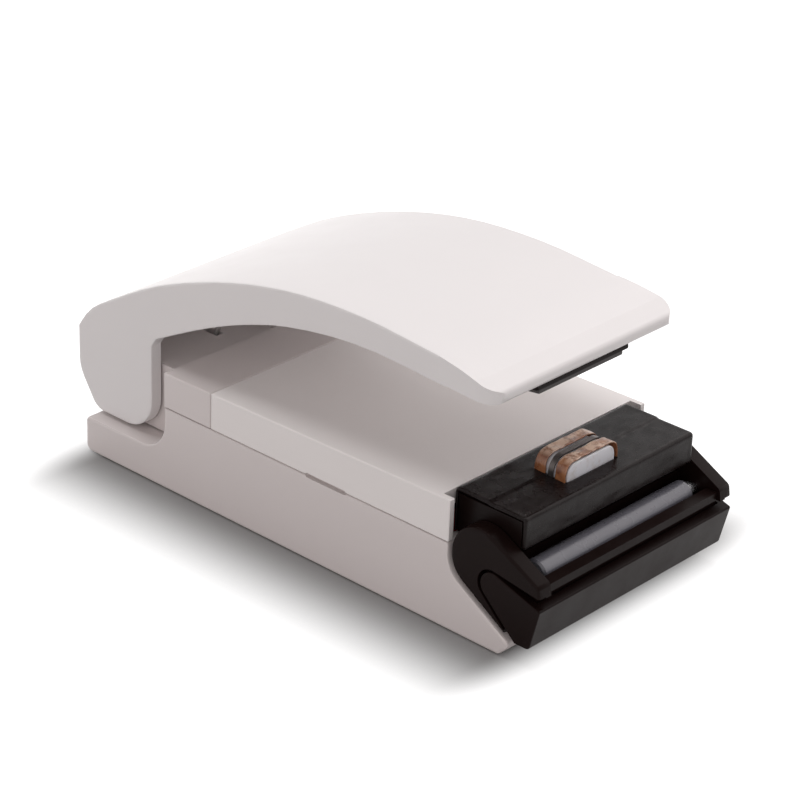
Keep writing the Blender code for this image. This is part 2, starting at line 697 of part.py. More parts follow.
def build_lower_shell(white):
    """The tub: foot, side walls, nose, cell ribs, tongues and screw holes."""
    outline = rounded([
        (FOOT_X, 0, HOUSING_CORNER),
        (FOOT_X, FOOT_HEIGHT, EDGE_RADIUS),
        (NOTCH_X, FOOT_HEIGHT, NOTCH_FILLET),
        (NOTCH_X, PARTING_HEIGHT, 0),
        (WALL_FRONT_X, PARTING_HEIGHT, 0),
        (WALL_FRONT_X, CRADLE_HEEL_HEIGHT - CRADLE_SETBACK, CRADLE_HEEL_FILLET),
        (WALL_FRONT_X + NOSE_REACH, NOSE_HEIGHT, NOSE_FILLET),
        (WALL_FRONT_X + NOSE_REACH - NOSE_HEIGHT, 0, NOSE_FILLET),
    ])
    shell = slab("lower_shell", outline, -HALF_WIDTH, HALF_WIDTH, material=white)
    round_edges(shell, EDGE_RADIUS / 2)
    bay = cutter_box("bay_space", (BAY_REAR_X, -INNER_HALF_WIDTH, WALL),
                     (BAY_FRONT_X, INNER_HALF_WIDTH, PARTING_HEIGHT + CUT_OVERRUN))
    block_room = cutter_box("hinge_block_room", (FOOT_X + CHEEK_GAP, -CHEEK_INNER_Y, FOOT_HEIGHT),
                            (NOTCH_X, CHEEK_INNER_Y, PARTING_HEIGHT + CUT_OVERRUN))
    foot_pocket = cutter_box(
        "foot_pocket",
        (FOOT_X + HINGE_BLOCK_REAR + FOOT_POCKET_MARGIN, -HINGE_BLOCK_Y + FOOT_POCKET_MARGIN, WALL),
        (NOTCH_X - FOOT_POCKET_MARGIN, HINGE_BLOCK_Y - FOOT_POCKET_MARGIN, PARTING_HEIGHT))
    nose_pocket = cutter_box("nose_pocket", (WALL_FRONT_X, -INNER_HALF_WIDTH, WALL),
                             (WALL_FRONT_X + NOSE_POCKET_REACH, INNER_HALF_WIDTH, PARTING_HEIGHT))
    cut(shell, bay, block_room, foot_pocket, nose_pocket)
    for name, side in (("rear", -1), ("front", 1)):
        x = BAY_X + side * CELL_LENGTH * RIB_SPACING_SHARE / 2
        rib = cutter_box(f"cell_rib_{name}", (x - RIB_THICKNESS / 2, -HALF_WIDTH + WALL / 2, WALL / 2),
                         (x + RIB_THICKNESS / 2, HALF_WIDTH - WALL / 2, WALL + RIB_HEIGHT))
        join(shell, rib)
        room = WIRE_RADIUS + FIT_GAP
        for lane, way in SIDES:
            slot = side_box(f"rib_gate_{name}_{lane}", (x - WALL, x + WALL), way,
                            (WIRE_LANE - room, WIRE_LANE + room), (WALL, WALL + RIB_HEIGHT + WALL))
            cut(shell, slot)
    for name, side in SIDES:
        seat = cutter_rod(f"cell_seat_{name}", (BAY_X, side * CELL_Y, CELL_Z),
                          CELL_RADIUS + CELL_FLOOR_GAP, BAY_LENGTH - WALL, "X")
        cut(shell, seat)
        inner = INNER_HALF_WIDTH - FIT_GAP
        tongue_x = (SEAM_X + WALL, BAY_FRONT_X - WALL)
        tongue = side_box(f"tongue_{name}", tongue_x, side, (inner - TONGUE_THICKNESS, inner),
                          (PARTING_HEIGHT - WALL, PARTING_HEIGHT + TONGUE_HEIGHT))
        root = side_box(f"tongue_root_{name}", tongue_x, side,
                        (inner - TONGUE_THICKNESS, HALF_WIDTH - WALL / 2),
                        (PARTING_HEIGHT - WALL, PARTING_HEIGHT - WALL / 2))
        join(shell, tongue, root)
        cut(shell, pry_slot(f"pry_slot_low_{name}", side))
    for name, x in (("rear", NOTCH_X), ("front", BAY_FRONT_X)):
        for lane, way in SIDES:
            gate = side_box(f"wire_gate_{name}_{lane}", (x - CUT_OVERRUN, x + WALL + CUT_OVERRUN), way,
                            (WIRE_GATE_Y - WIRE_GATE_WIDTH / 2, WIRE_GATE_Y + WIRE_GATE_WIDTH / 2),
                            (PARTING_HEIGHT - WIRE_GATE_DEPTH, PARTING_HEIGHT + CUT_OVERRUN))
            cut(shell, gate)
    for name, x, y in screw_places():
        pad = cutter_rod(f"screw_pad_{name}", (x, y, (WALL / 2 + PAD_TOP) / 2), PAD_RADIUS,
                         PAD_TOP - WALL / 2, "Z", SMALL_SIDES)
        join(shell, pad)
        cut(shell, screw_hole(f"screw_hole_{name}", x, y))
    return shell


def build_rear_housing(white):
    """The hinge block between the lever's cheeks and the bridge over the tub's rear."""
    seam = SEAM_X - PARTING_GAP / 2
    rise = DECK_RISE * (seam - NOTCH_X) / (WALL_FRONT_X - NOTCH_X)
    outline = [(NOTCH_X, TOP_PARTING), (NOTCH_X, DECK_REAR_HEIGHT), (seam, DECK_REAR_HEIGHT + rise),
               (seam, TOP_PARTING)]
    bridge = slab("rear_housing", outline, -HALF_WIDTH, HALF_WIDTH, material=white)
    round_edges(bridge, SEAM_EDGE, segments=1)
    roof = HINGE_BLOCK_TOP - WALL
    rear = FOOT_X + HINGE_BLOCK_REAR
    front = NOTCH_X - FIT_GAP
    foot = FOOT_HEIGHT + FIT_GAP
    block = cutter_slab("hinge_block", rounded([
        (rear, foot, 0),
        (rear, HINGE_BLOCK_TOP, HINGE_BLOCK_FILLET),
        (NOTCH_X + WALL / 2, HINGE_BLOCK_TOP, 0),
        (NOTCH_X + WALL / 2, TOP_PARTING + FIT_GAP, 0),
        (front, TOP_PARTING + FIT_GAP, 0),
        (front, foot, 0)]), -HINGE_BLOCK_Y, HINGE_BLOCK_Y)
    join(bridge, block)
    cavity = cutter_box("hinge_block_space", (rear + WALL, -HINGE_BLOCK_Y + WALL, NEAR_Z),
                        (front + CUT_OVERRUN, HINGE_BLOCK_Y - WALL, roof))
    under = cutter_box("bridge_space", (BAY_REAR_X, -INNER_HALF_WIDTH, PARTING_HEIGHT - CUT_OVERRUN),
                       (SEAM_X + CUT_OVERRUN, INNER_HALF_WIDTH, DECK_REAR_HEIGHT - WALL))
    cut(bridge, cavity, under)
    spring_half = SPRING_TURNS * SPRING_PITCH / 2 + SPRING_SLOT_MARGIN
    for name, side in SIDES:
        web = side_box(f"pin_web_{name}", (HINGE_X - WEB_HALF_LENGTH, HINGE_X + WEB_HALF_LENGTH), side,
                       (spring_half, spring_half + WEB_THICKNESS),
                       (HINGE_HEIGHT - WEB_DROP, roof + WALL / 2))
        join(bridge, web)
    for name, x, y in screw_places()[:2]:
        boss = cutter_rod(f"screw_boss_{name}", (x, y, (BOSS_FOOT + roof + WALL / 2) / 2), BOSS_RADIUS,
                          roof + WALL / 2 - BOSS_FOOT, "Z", SMALL_SIDES)
        join(bridge, boss)
        cut(bridge, screw_hole(f"boss_hole_{name}", x, y))
    arm_y = spring_half - SPRING_SLOT_MARGIN
    slot = side_box("spring_slot", (HINGE_X - SPRING_WIRE_RADIUS, HINGE_X + SPRING_SLOT_REACH), -1,
                    (arm_y - SPRING_SLOT_MARGIN, spring_half),
                    (roof - CUT_OVERRUN, HINGE_BLOCK_TOP + CUT_OVERRUN))
    plunger_hole = cutter_rod("plunger_hole", (HINGE_X + SWITCH_ARM, SWITCH_Y, roof + WALL / 2),
                              PLUNGER_RADIUS + RUNNING_GAP, WALL + 2 * CUT_OVERRUN, "Z", SMALL_SIDES)
    bore = cutter_rod("pin_bore", HINGE, PIN_RADIUS + RUNNING_GAP, HOUSING_WIDTH)
    cut(bridge, slot, plunger_hole, bore)
    return bridge


def build_battery_cover(white):
    """The deck lid, with side skirts, ribs and a notch for the head block."""
    seam = SEAM_X + PARTING_GAP / 2
    rise = DECK_RISE * (seam - NOTCH_X) / (WALL_FRONT_X - NOTCH_X)
    outline = [(seam, TOP_PARTING), (seam, DECK_REAR_HEIGHT + rise), (WALL_FRONT_X, DECK_FRONT_HEIGHT),
               (WALL_FRONT_X, TOP_PARTING)]
    cover = slab("battery_cover", outline, -HALF_WIDTH, HALF_WIDTH, material=white)
    round_edges(cover, SEAM_EDGE, segments=1)
    roof = DECK_REAR_HEIGHT - WALL
    notch_x = BLOCK_REAR_X - FIT_GAP
    notch_y = HALF_WIDTH - WING_THICKNESS
    under = cutter_box("cover_space", (seam - CUT_OVERRUN, -INNER_HALF_WIDTH, PARTING_HEIGHT - CUT_OVERRUN),
                       (notch_x, INNER_HALF_WIDTH, roof))
    notch = cutter_box("block_notch", (notch_x - CUT_OVERRUN / 4, -notch_y, PARTING_HEIGHT - CUT_OVERRUN),
                       (WALL_FRONT_X + CUT_OVERRUN, notch_y, BLOCK_TOP + CUT_OVERRUN))
    cut(cover, under, notch)
    spacing = (notch_x - seam) / (COVER_RIB_COUNT + 1)
    for index in range(COVER_RIB_COUNT):
        x = (seam + notch_x) / 2 + (index - (COVER_RIB_COUNT - 1) / 2) * spacing
        rib = cutter_box(f"cover_rib_{index}", (x, -INNER_HALF_WIDTH - WALL / 2, roof - COVER_RIB_DEPTH),
                         (x + RIB_THICKNESS, INNER_HALF_WIDTH + WALL / 2, roof + WALL / 2))
        join(cover, rib)
    for name, side in SIDES:
        cut(cover, pry_slot(f"pry_slot_high_{name}", side))
    return cover


def lever_paths():
    """The arch from the rear corner to the crease, and the skirt's edge from the crease back."""
    start_point = Vector((REAR_X, LEVER_REAR_HEIGHT))
    chord = Vector((CREASE_X, CREASE_HEIGHT)) - start_point

    def on_chord(share):
        return start_point + chord * share

    knots = [tuple(start_point)]
    for share, rise in ARCH_SHARES:
        point = on_chord(share)
        knots.append((point.x, point.y + rise * ARCH_RISE))
    knots.append((CREASE_X, CREASE_HEIGHT))
    arch = smooth_through(knots, CURVE_STEPS)
    skirt = []
    for share, extra in SKIRT_SHARES:
        x = CHEEK_FRONT_X + (CREASE_X - CHEEK_FRONT_X) * share
        depth = SKIRT_FRONT_DEPTH + (SKIRT_REAR_DEPTH - SKIRT_FRONT_DEPTH) * extra
        skirt.append((x, height_at(arch, x) - depth))
    skirt = smooth_through(skirt, CURVE_STEPS - 1)
    return arch, list(reversed(skirt))


def build_lever(white):
    """The arched channel with rear cheeks, the lip, ribs, striker and pin pockets."""
    arch, skirt = lever_paths()
    bottom = HINGE_HEIGHT - CHEEK_DROP
    lip_join_x = LIP_REAR_X + LIP_WALL
    front = [point for point in arch if point[0] < lip_join_x]
    foot = rounded([
        (CHEEK_FRONT_X, skirt[-1][1] - SKIRT_FRONT_DEPTH / 3, CHEEK_ROOT_FILLET),
        (CHEEK_FRONT_X, bottom, CHEEK_FRONT_FILLET),
        (REAR_X + CHEEK_HEEL_INSET, bottom, CHEEK_REAR_FILLET),
        (REAR_X, bottom + CHEEK_HEEL_RISE, CHEEK_HEEL_FILLET),
        (REAR_X, LEVER_REAR_HEIGHT, 0)], closed=False)
    low = [point for point in skirt if point[0] < lip_join_x]
    last = (lip_join_x, height_at(arch, lip_join_x))
    outline = front + [last, (lip_join_x, last[1] - SKIRT_FRONT_DEPTH)] + low + foot[:-1]
    lever = slab("lever", outline, -LEVER_HALF_WIDTH, LEVER_HALF_WIDTH, material=white)
    round_edges(lever, LEVER_EDGE)
    inside = beside([point for point in arch if point[0] > REAR_X + LEVER_SKIN], LEVER_SKIN)
    inside = [point for point in inside if point[0] > REAR_X + LEVER_SKIN]
    wall_foot = HINGE_HEIGHT - LEVER_REAR_SKIRT + LEVER_REAR_RISE
    hollow = [(REAR_X + LEVER_SKIN, wall_foot)] + inside + [
        (inside[-1][0] + LIP_LENGTH, inside[-1][1]), (inside[-1][0] + LIP_LENGTH, NEAR_Z),
        (REAR_X - CUT_OVERRUN, NEAR_Z), (REAR_X - CUT_OVERRUN, wall_foot)]
    cut(lever, cutter_slab("lever_hollow", hollow, -CHEEK_INNER_Y, CHEEK_INNER_Y))

    half = LEVER_HALF_WIDTH
    lip_plan = rounded([
        (LIP_REAR_X, -half, 0), (LIP_FRONT_X, -half - LIP_FLARE, LIP_CORNER),
        (LIP_FRONT_X, half + LIP_FLARE, LIP_CORNER), (LIP_REAR_X, half, 0)])
    lip = cutter_slab("lip", lip_plan, LIP_BOTTOM - LIP_DEPTH, CREASE_HEIGHT + LIP_DEPTH, "Z")
    top = [(x, z) for x, z in arch if LIP_REAR_X <= x < CREASE_X - LIP_CREASE_RADIUS]
    top = [(LIP_REAR_X, height_at(arch, LIP_REAR_X))] + top
    nose = rounded([
        (top[-1][0], top[-1][1], 0),
        (CREASE_X, CREASE_HEIGHT, LIP_CREASE_RADIUS / 2),
        (LIP_FRONT_X, CREASE_HEIGHT - LIP_BROW_DROP, LIP_BROW_RADIUS),
        (LIP_FRONT_X, LIP_BOTTOM, LIP_CHIN_RADIUS),
        (LIP_REAR_X, LIP_BOTTOM, 0)], closed=False)
    section = cutter_slab("lip_section", top[:-1] + nose, -HOUSING_WIDTH, HOUSING_WIDTH)
    combine(lip, section, "INTERSECT")
    round_edges(lip, SEAM_EDGE, segments=1)
    join(lever, lip)
    lip_hollow = cutter_box(
        "lip_hollow", (LIP_REAR_X - CUT_OVERRUN, -CHEEK_INNER_Y + LIP_HOLLOW_SIDE - CHEEK_THICKNESS, NEAR_Z),
        (LIP_FRONT_X - LIP_WALL, CHEEK_INNER_Y - LIP_HOLLOW_SIDE + CHEEK_THICKNESS,
         CREASE_HEIGHT - LEVER_SKIN))
    cut(lever, lip_hollow)
    side = HOLDER_WIDTH / 2 + FIT_GAP
    holder_room = cutter_box("holder_room", (ELEMENT_X - side, -HOLDER_LENGTH / 2 - FIT_GAP, HOLDER_FOOT),
                             (ELEMENT_X + side + FIT_GAP, HOLDER_LENGTH / 2 + FIT_GAP, SEAT_FOOT))
    holder_room.data.transform(OPENING)
    cut(lever, holder_room)

    seat = box("pad_seat", (ELEMENT_X - PAD_SEAT_WIDTH / 2, -PAD_SEAT_LENGTH / 2, SEAT_FOOT),
               (ELEMENT_X + PAD_SEAT_WIDTH / 2, PAD_SEAT_LENGTH / 2, SEAT_FOOT + PAD_SEAT_HEIGHT),
               group=CUTTERS)
    seat.data.transform(OPENING)
    join(lever, seat)
    for index, share in enumerate(RIB_SHARES):
        x = REAR_X + (CREASE_X - REAR_X) * share
        roof = height_at(arch, x) - LEVER_SKIN
        rib = cutter_box(f"lever_rib_{index}",
                         (x - LEVER_RIB_THICKNESS / 2, -CHEEK_INNER_Y - CHEEK_GAP, roof - LEVER_RIB_DEPTH),
                         (x + LEVER_RIB_THICKNESS / 2, CHEEK_INNER_Y + CHEEK_GAP, roof + LEVER_SKIN / 3))
        join(lever, rib)
    striker_x = HINGE_X + SWITCH_ARM
    striker_foot = HINGE_BLOCK_TOP + PLUNGER_LIFT + FIT_GAP
    striker = cutter_box("striker", (striker_x - STRIKER_THICKNESS / 2, SWITCH_Y - STRIKER_WIDTH / 2, striker_foot),
                         (striker_x + STRIKER_THICKNESS / 2, SWITCH_Y + STRIKER_WIDTH / 2,
                          height_at(arch, striker_x) - LEVER_SKIN / 2))
    round_edges(striker, STRIKER_THICKNESS / 3)
    join(lever, striker)
    pocket = cutter_rod("pin_pockets", HINGE, PIN_RADIUS + RUNNING_GAP, 2 * (CHEEK_INNER_Y + PIN_POCKET))
    cut(lever, pocket)
    return lever


def build_pad(rubber, black):
    """The rubber face and the tray that holds it under the lip."""
    pad = box("seal_pad", (ELEMENT_X - PAD_WIDTH / 2, -PAD_LENGTH / 2, PAD_FACE.z),
              (ELEMENT_X + PAD_WIDTH / 2, PAD_LENGTH / 2, PAD_FACE.z + PAD_THICKNESS), rubber)
    pad.data.transform(OPENING)
    round_edges(pad, FINE_EDGE)
    holder = box("pad_holder", (ELEMENT_X - HOLDER_WIDTH / 2, -HOLDER_LENGTH / 2, HOLDER_FOOT),
                 (ELEMENT_X + HOLDER_WIDTH / 2, HOLDER_LENGTH / 2, HOLDER_TOP), black)
    holder.data.transform(OPENING)
    round_edges(holder, FINE_EDGE)
    tray = box("holder_tray",
               (ELEMENT_X - PAD_WIDTH / 2 - CONTACT_GAP, -PAD_LENGTH / 2 - CONTACT_GAP,
                HOLDER_FOOT - CUT_OVERRUN),
               (ELEMENT_X + PAD_WIDTH / 2 + CONTACT_GAP, PAD_LENGTH / 2 + CONTACT_GAP,
                PAD_FACE.z + PAD_THICKNESS + CONTACT_GAP), group=CUTTERS)
    tray.data.transform(OPENING)
    cut(holder, tray)
    return pad, holder


def build_pin(steel):
    """The hinge pin, its ends turning in the cheeks' pockets."""
    half = CHEEK_INNER_Y + PIN_POCKET - FIT_GAP
    inner = PIN_RADIUS - FINE_EDGE
    profile = [(0, half), (inner, half), (PIN_RADIUS, half - FINE_EDGE),
               (PIN_RADIUS, FINE_EDGE - half), (inner, -half), (0, -half)]
    return turned("hinge_pin", profile, HINGE, "Y", steel)


def tangent_angle(end, turn):
    """Angle on the coil where a straight leg from end touches it."""
    away = Vector(end) - Vector((HINGE_X, HINGE_HEIGHT))
    return math.atan2(away.y, away.x) + turn * math.acos(SPRING_COIL_RADIUS / away.length)


def build_return_spring(steel, arch):
    """The torsion spring on the pin: one leg under the lever, one down in the foot."""
    arm_x = HINGE_X + SPRING_ARM_REACH
    arm_end = (arm_x, height_at(arch, arm_x) - LEVER_SKIN - SPRING_WIRE_RADIUS - FIT_GAP)
    foot_end = (HINGE_X + SPRING_FOOT_REACH, SPRING_FOOT_HEIGHT)
    first = tangent_angle(arm_end, -1)
    last = tangent_angle(foot_end, 1) - math.tau * SPRING_TURNS
    half = SPRING_TURNS * SPRING_PITCH / 2
    count = SPRING_TURNS * SPRING_TURN_POINTS
    route = [(arm_end[0], -half, arm_end[1])]
    for step in range(count + 1):
        share = step / count
        angle = first + (last - first) * share
        route.append((HINGE_X + SPRING_COIL_RADIUS * math.cos(angle), 2 * half * share - half,
                      HINGE_HEIGHT + SPRING_COIL_RADIUS * math.sin(angle)))
    route.append((foot_end[0], half, foot_end[1]))
    return tube("return_spring", route, SPRING_WIRE_RADIUS, steel)


def build_switch(black, plunger_white):
    """The switch under the hinge block's roof and its plunger."""
    x = HINGE_X + SWITCH_ARM
    top = HINGE_BLOCK_TOP - WALL - FIT_GAP
    body = box("switch_body", (x - SWITCH_BODY_LENGTH / 2, SWITCH_Y - SWITCH_BODY_WIDTH / 2,
                               top - SWITCH_BODY_HEIGHT),
               (x + SWITCH_BODY_LENGTH / 2, SWITCH_Y + SWITCH_BODY_WIDTH / 2, top), black)
    round_edges(body, SWITCH_EDGE, segments=1)
    stem_foot = top - PLUNGER_STEM
    floor = stem_foot - OPEN_ANGLE * SWITCH_RATIO - FIT_GAP
    well = cutter_rod("plunger_well", (x, SWITCH_Y, (floor + top + CUT_OVERRUN) / 2), PLUNGER_RADIUS + RUNNING_GAP,
                      top + CUT_OVERRUN - floor, "Z", SMALL_SIDES)
    cut(body, well)
    tip = HINGE_BLOCK_TOP + PLUNGER_LIFT
    inner = PLUNGER_RADIUS - FINE_EDGE
    profile = [(0, tip), (inner, tip), (PLUNGER_RADIUS, tip - FINE_EDGE), (PLUNGER_RADIUS, stem_foot),
               (0, stem_foot)]
    plunger = turned("switch_plunger", profile, (x, SWITCH_Y, 0), "Z", plunger_white, sides=SMALL_SIDES)
    return body, plunger


def block_outline(inset, bottom_inset=0.0):
    """Side outline of the head block, drawn in by inset at the rear, top and front."""
    low = BLOCK_TOP - BLOCK_REAR_HEIGHT + bottom_inset
    high = BLOCK_TOP - BLOCK_FRONT_HEIGHT + bottom_inset
    radius = max(BLOCK_EDGE - inset, 0)
    return rounded([
        (BLOCK_REAR_X + inset, low, 0),
        (BLOCK_REAR_X + inset, BLOCK_TOP - inset, radius),
        (BLOCK_FRONT_X - inset, BLOCK_TOP - inset, radius),
        (BLOCK_FRONT_X - inset, high, 0),
        (BLOCK_REAR_X + BLOCK_STEP_END, high, 0),
        (BLOCK_REAR_X + BLOCK_STEP_START, low, 0)])


def build_head_block(black):
    """The hollow block across the front, open below."""
    half = BLOCK_HALF_LENGTH
    block = slab("head_block", block_outline(FILM_ROOM), -half, half, material=black)
    round_edges(block, BLOCK_EDGE / 2)
    inner = FILM_ROOM + BLOCK_WALL
    hollow = cutter_box("block_hollow", (BLOCK_REAR_X + inner, -half + BLOCK_WALL, NEAR_Z),
                        (BLOCK_FRONT_X - inner, half - BLOCK_WALL, BLOCK_TOP - inner))
    cut(block, hollow)
    return block


def build_film(film):
    """The film wrapped over the block, lapped along one line, with a window for the element."""
    high = BLOCK_TOP - BLOCK_FRONT_HEIGHT
    low = BLOCK_TOP - BLOCK_REAR_HEIGHT
    lap_x = BLOCK_REAR_X + BLOCK_DEPTH * CREASE_SHARE
    step = BLOCK_TOP + FILM_LAP_STEP
    outer = rounded([
        (BLOCK_REAR_X, low, 0), (BLOCK_REAR_X, step, BLOCK_EDGE), (lap_x, step, 0),
        (lap_x + FILM_LAP_RAMP / 3, BLOCK_TOP, 0),
        (BLOCK_FRONT_X, BLOCK_TOP, BLOCK_EDGE), (BLOCK_FRONT_X, high, 0)], closed=False)
    inset = FILM_THICKNESS
    inner = rounded([
        (BLOCK_FRONT_X - inset, high, 0), (BLOCK_FRONT_X - inset, BLOCK_TOP - inset, BLOCK_EDGE - inset),
        (BLOCK_REAR_X + inset, BLOCK_TOP - inset, BLOCK_EDGE - inset), (BLOCK_REAR_X + inset, low, 0)],
        closed=False)
    half = BLOCK_HALF_LENGTH - FILM_SIDE_INSET
    skin = slab("head_film", outer + inner, -half, half, material=film)
    room = CORE_LENGTH / 2 + BAND_THICKNESS + FIT_GAP + FILM_WINDOW_MARGIN
    deep = CORE_DEPTH / 2 + FILM_WINDOW_MARGIN
    window = cutter_box("element_window",
                        (ELEMENT_X - deep, -ELEMENT_SHIFT - room, BLOCK_TOP - BLOCK_WALL),
                        (ELEMENT_X + deep, -ELEMENT_SHIFT + room, BLOCK_TOP + BLOCK_WALL))
    cut(skin, window)
    return skin


def element_arch(grow):
    """The element's end-on outline in YZ, grown by a distance."""
    half = CORE_LENGTH / 2 + grow
    radius = CORE_END_FILLET + grow
    return rounded([
        (-ELEMENT_SHIFT - half, CORE_FOOT, 0), (-ELEMENT_SHIFT - half, CORE_TOP + grow, radius),
        (-ELEMENT_SHIFT + half, CORE_TOP + grow, radius), (-ELEMENT_SHIFT + half, CORE_FOOT, 0)],
        closed=False)


def build_element(ceramic, amber, ribbon_metal):
    """The core, two tape bands arched over it and the ribbon between them."""
    half = CORE_DEPTH / 2
    core = slab("element_core", element_arch(0), ELEMENT_X - half, ELEMENT_X + half, "X", ceramic)
    round_edges(core, FINE_EDGE / 2, segments=1)
    pieces = [core]
    loop = element_arch(FIT_GAP + BAND_THICKNESS) + list(reversed(element_arch(FIT_GAP)))
    middle = (RIBBON_WIDTH + 2 * BAND_GAP) / 2
    for name, low, high in (("rear", -half, -middle), ("front", middle, half)):
        band = slab(f"tape_band_{name}", loop, ELEMENT_X + low, ELEMENT_X + high, "X", amber)
        pieces.append(band)
    strip = element_arch(FIT_GAP + RIBBON_THICKNESS) + list(reversed(element_arch(FIT_GAP)))
    ribbon = slab("heater_ribbon", strip, ELEMENT_X - RIBBON_WIDTH / 2, ELEMENT_X + RIBBON_WIDTH / 2,
                  "X", ribbon_metal)
    pieces.append(ribbon)
    return pieces


def cradle_outline():
    """Side outline of the front cradle."""
    return rounded([
        (CRADLE_X, CRADLE_TOP_HEIGHT, CRADLE_CORNER),
        (CRADLE_X, CRADLE_HEEL_HEIGHT, CRADLE_HEEL_FILLET),
        (TOE_X, CRADLE_TOE_HEIGHT, CRADLE_TOE_FILLET),
        (CHIN_X, CRADLE_CHIN_HEIGHT, CRADLE_CHIN_FILLET),
        (FRONT_X, LEDGE_HEIGHT, 0),
        (FRONT_X - CRADLE_BROW_INSET, CRADLE_BROW_HEIGHT, CRADLE_BROW_FILLET),
    ])


def arm_outline():
    """Side outline of the cover's arm and front."""
    foot_x = FRONT_X - ARM_FOOT_REACH
    return rounded([
        (FRONT_X - ARM_TIP_REACH, ARM_TIP_HEIGHT, ARM_TIP_RADIUS),
        (foot_x, ARM_FOOT_HEIGHT, FINE_EDGE),
        (CHIN_X, CRADLE_CHIN_HEIGHT, CRADLE_CHIN_FILLET),
        (FRONT_X, ARM_FRONT_HEIGHT, FINE_EDGE),
    ])


def build_cradle(black):
    """Side plates, shelf, trough and front wall as one moulding, with screw bosses."""
    low, high = NEAR_Z, CRADLE_TOP_HEIGHT
    behind, ahead = CRADLE_X - CUT_OVERRUN, FRONT_X + CUT_OVERRUN
    cradle = slab("front_cradle", cradle_outline(), -HALF_WIDTH, HALF_WIDTH, material=black)
    round_edges(cradle, CRADLE_EDGE)
    above = cutter_slab("room_above", [
        (behind, high), (ahead, high), (ahead, FRONT_WALL_TOP), (TROUGH_FRONT_X, FRONT_WALL_TOP),
        (TROUGH_FRONT_X, TROUGH_FLOOR), (TROUGH_REAR_X, TROUGH_FLOOR), (TROUGH_REAR_X, SHELF_HEIGHT),
        (behind, SHELF_HEIGHT)], -CRADLE_INNER_Y, CRADLE_INNER_Y)
    shelf_foot = SHELF_HEIGHT - SHELF_THICKNESS
    trough_foot = TROUGH_FLOOR - TROUGH_WALL
    below = cutter_slab("room_below", [
        (behind, low), (behind, shelf_foot), (TROUGH_REAR_X - TROUGH_WALL, shelf_foot),
        (TROUGH_REAR_X - TROUGH_WALL, trough_foot), (ahead, trough_foot), (ahead, low)],
        -CRADLE_INNER_Y, CRADLE_INNER_Y)
    wall_top = cutter_slab("front_wall_face", [
        (FRONT_WALL_X, GROOVE_TOP - CUT_OVERRUN), (FRONT_WALL_X, high), (ahead, high),
        (ahead, GROOVE_TOP - CUT_OVERRUN)], -CRADLE_INNER_Y, CRADLE_INNER_Y)
    bar_back = FRONT_X - COVER_THICKNESS - FIT_GAP
    chin_back = CHIN_X - COVER_THICKNESS - FIT_GAP
    flange_top = CRADLE_CHIN_HEIGHT + COVER_FLANGE + FIT_GAP
    bar_room = cutter_slab("cover_room", [
        (ahead, GROOVE_TOP), (bar_back, GROOVE_TOP), (bar_back, ARM_FRONT_HEIGHT), (chin_back, flange_top),
        (FRONT_X - ARM_FOOT_REACH - 2 * CUT_OVERRUN, flange_top),
        (FRONT_X - ARM_FOOT_REACH - 2 * CUT_OVERRUN, low), (ahead, low)], -OUTSIDE_Y, OUTSIDE_Y)
    cut(cradle, above, below, wall_top, bar_room)
    tip = (FRONT_X - ARM_TIP_REACH + RECESS_TIP_AHEAD, ARM_TIP_HEIGHT - RECESS_TIP_DROP)
    foot_x = FRONT_X - ARM_FOOT_REACH - FIT_GAP
    recess = rounded([
        (*tip, ARM_TIP_RADIUS + FIT_GAP), (foot_x, ARM_FOOT_HEIGHT - FIT_GAP, 0), (ahead, low, 0),
        (ahead, GROOVE_TOP, 0)])
    for name, side in SIDES:
        deep = HALF_WIDTH - ARM_THICKNESS - FIT_GAP
        near, far = sorted((side * deep, side * OUTSIDE_Y))
        cut(cradle, cutter_slab(f"arm_recess_{name}", recess, near, far))
    for name, x, y in screw_places()[2:]:
        boss = cutter_rod(f"cradle_boss_{name}", (x, y, (BOSS_FOOT + SHELF_HEIGHT - SHELF_THICKNESS / 2) / 2),
                          BOSS_RADIUS, SHELF_HEIGHT - SHELF_THICKNESS / 2 - BOSS_FOOT, "Z", SMALL_SIDES)
        join(cradle, boss)
        cut(cradle, screw_hole(f"cradle_hole_{name}", x, y))
    window = cutter_box("wire_window",
                        (SCREW_FRONT_X - SHELF_WINDOW_LENGTH / 2, -SHELF_WINDOW_WIDTH / 2, trough_foot),
                        (SCREW_FRONT_X + SHELF_WINDOW_LENGTH / 2, SHELF_WINDOW_WIDTH / 2,
                         SHELF_HEIGHT + CUT_OVERRUN))
    axle_room = cutter_rod("axle_pockets", (ROLLER_X, 0, ROLLER_HEIGHT), AXLE_RADIUS + RUNNING_GAP,
                           2 * (CRADLE_INNER_Y + AXLE_POCKET), sides=SMALL_SIDES)
    cut(cradle, window, axle_room)
    return cradle


def build_cradle_cover(black):
    """The front bar whose arms lie in the side plates' recesses."""
    cover = slab("cradle_cover", arm_outline(), -HALF_WIDTH, HALF_WIDTH, material=black)
    round_edges(cover, CRADLE_EDGE / 2)
    arm_inner = HALF_WIDTH - ARM_THICKNESS
    behind = FRONT_X - ARM_TIP_REACH
    inside = cutter_slab("cover_inside", [
        (behind, ARM_TIP_HEIGHT), (FRONT_X - COVER_THICKNESS, ARM_TIP_HEIGHT),
        (FRONT_X - COVER_THICKNESS, ARM_FRONT_HEIGHT),
        (CHIN_X - COVER_THICKNESS, CRADLE_CHIN_HEIGHT + COVER_FLANGE),
        (behind, CRADLE_CHIN_HEIGHT + COVER_FLANGE)], -arm_inner, arm_inner)
    cut(cover, inside)
    return cover


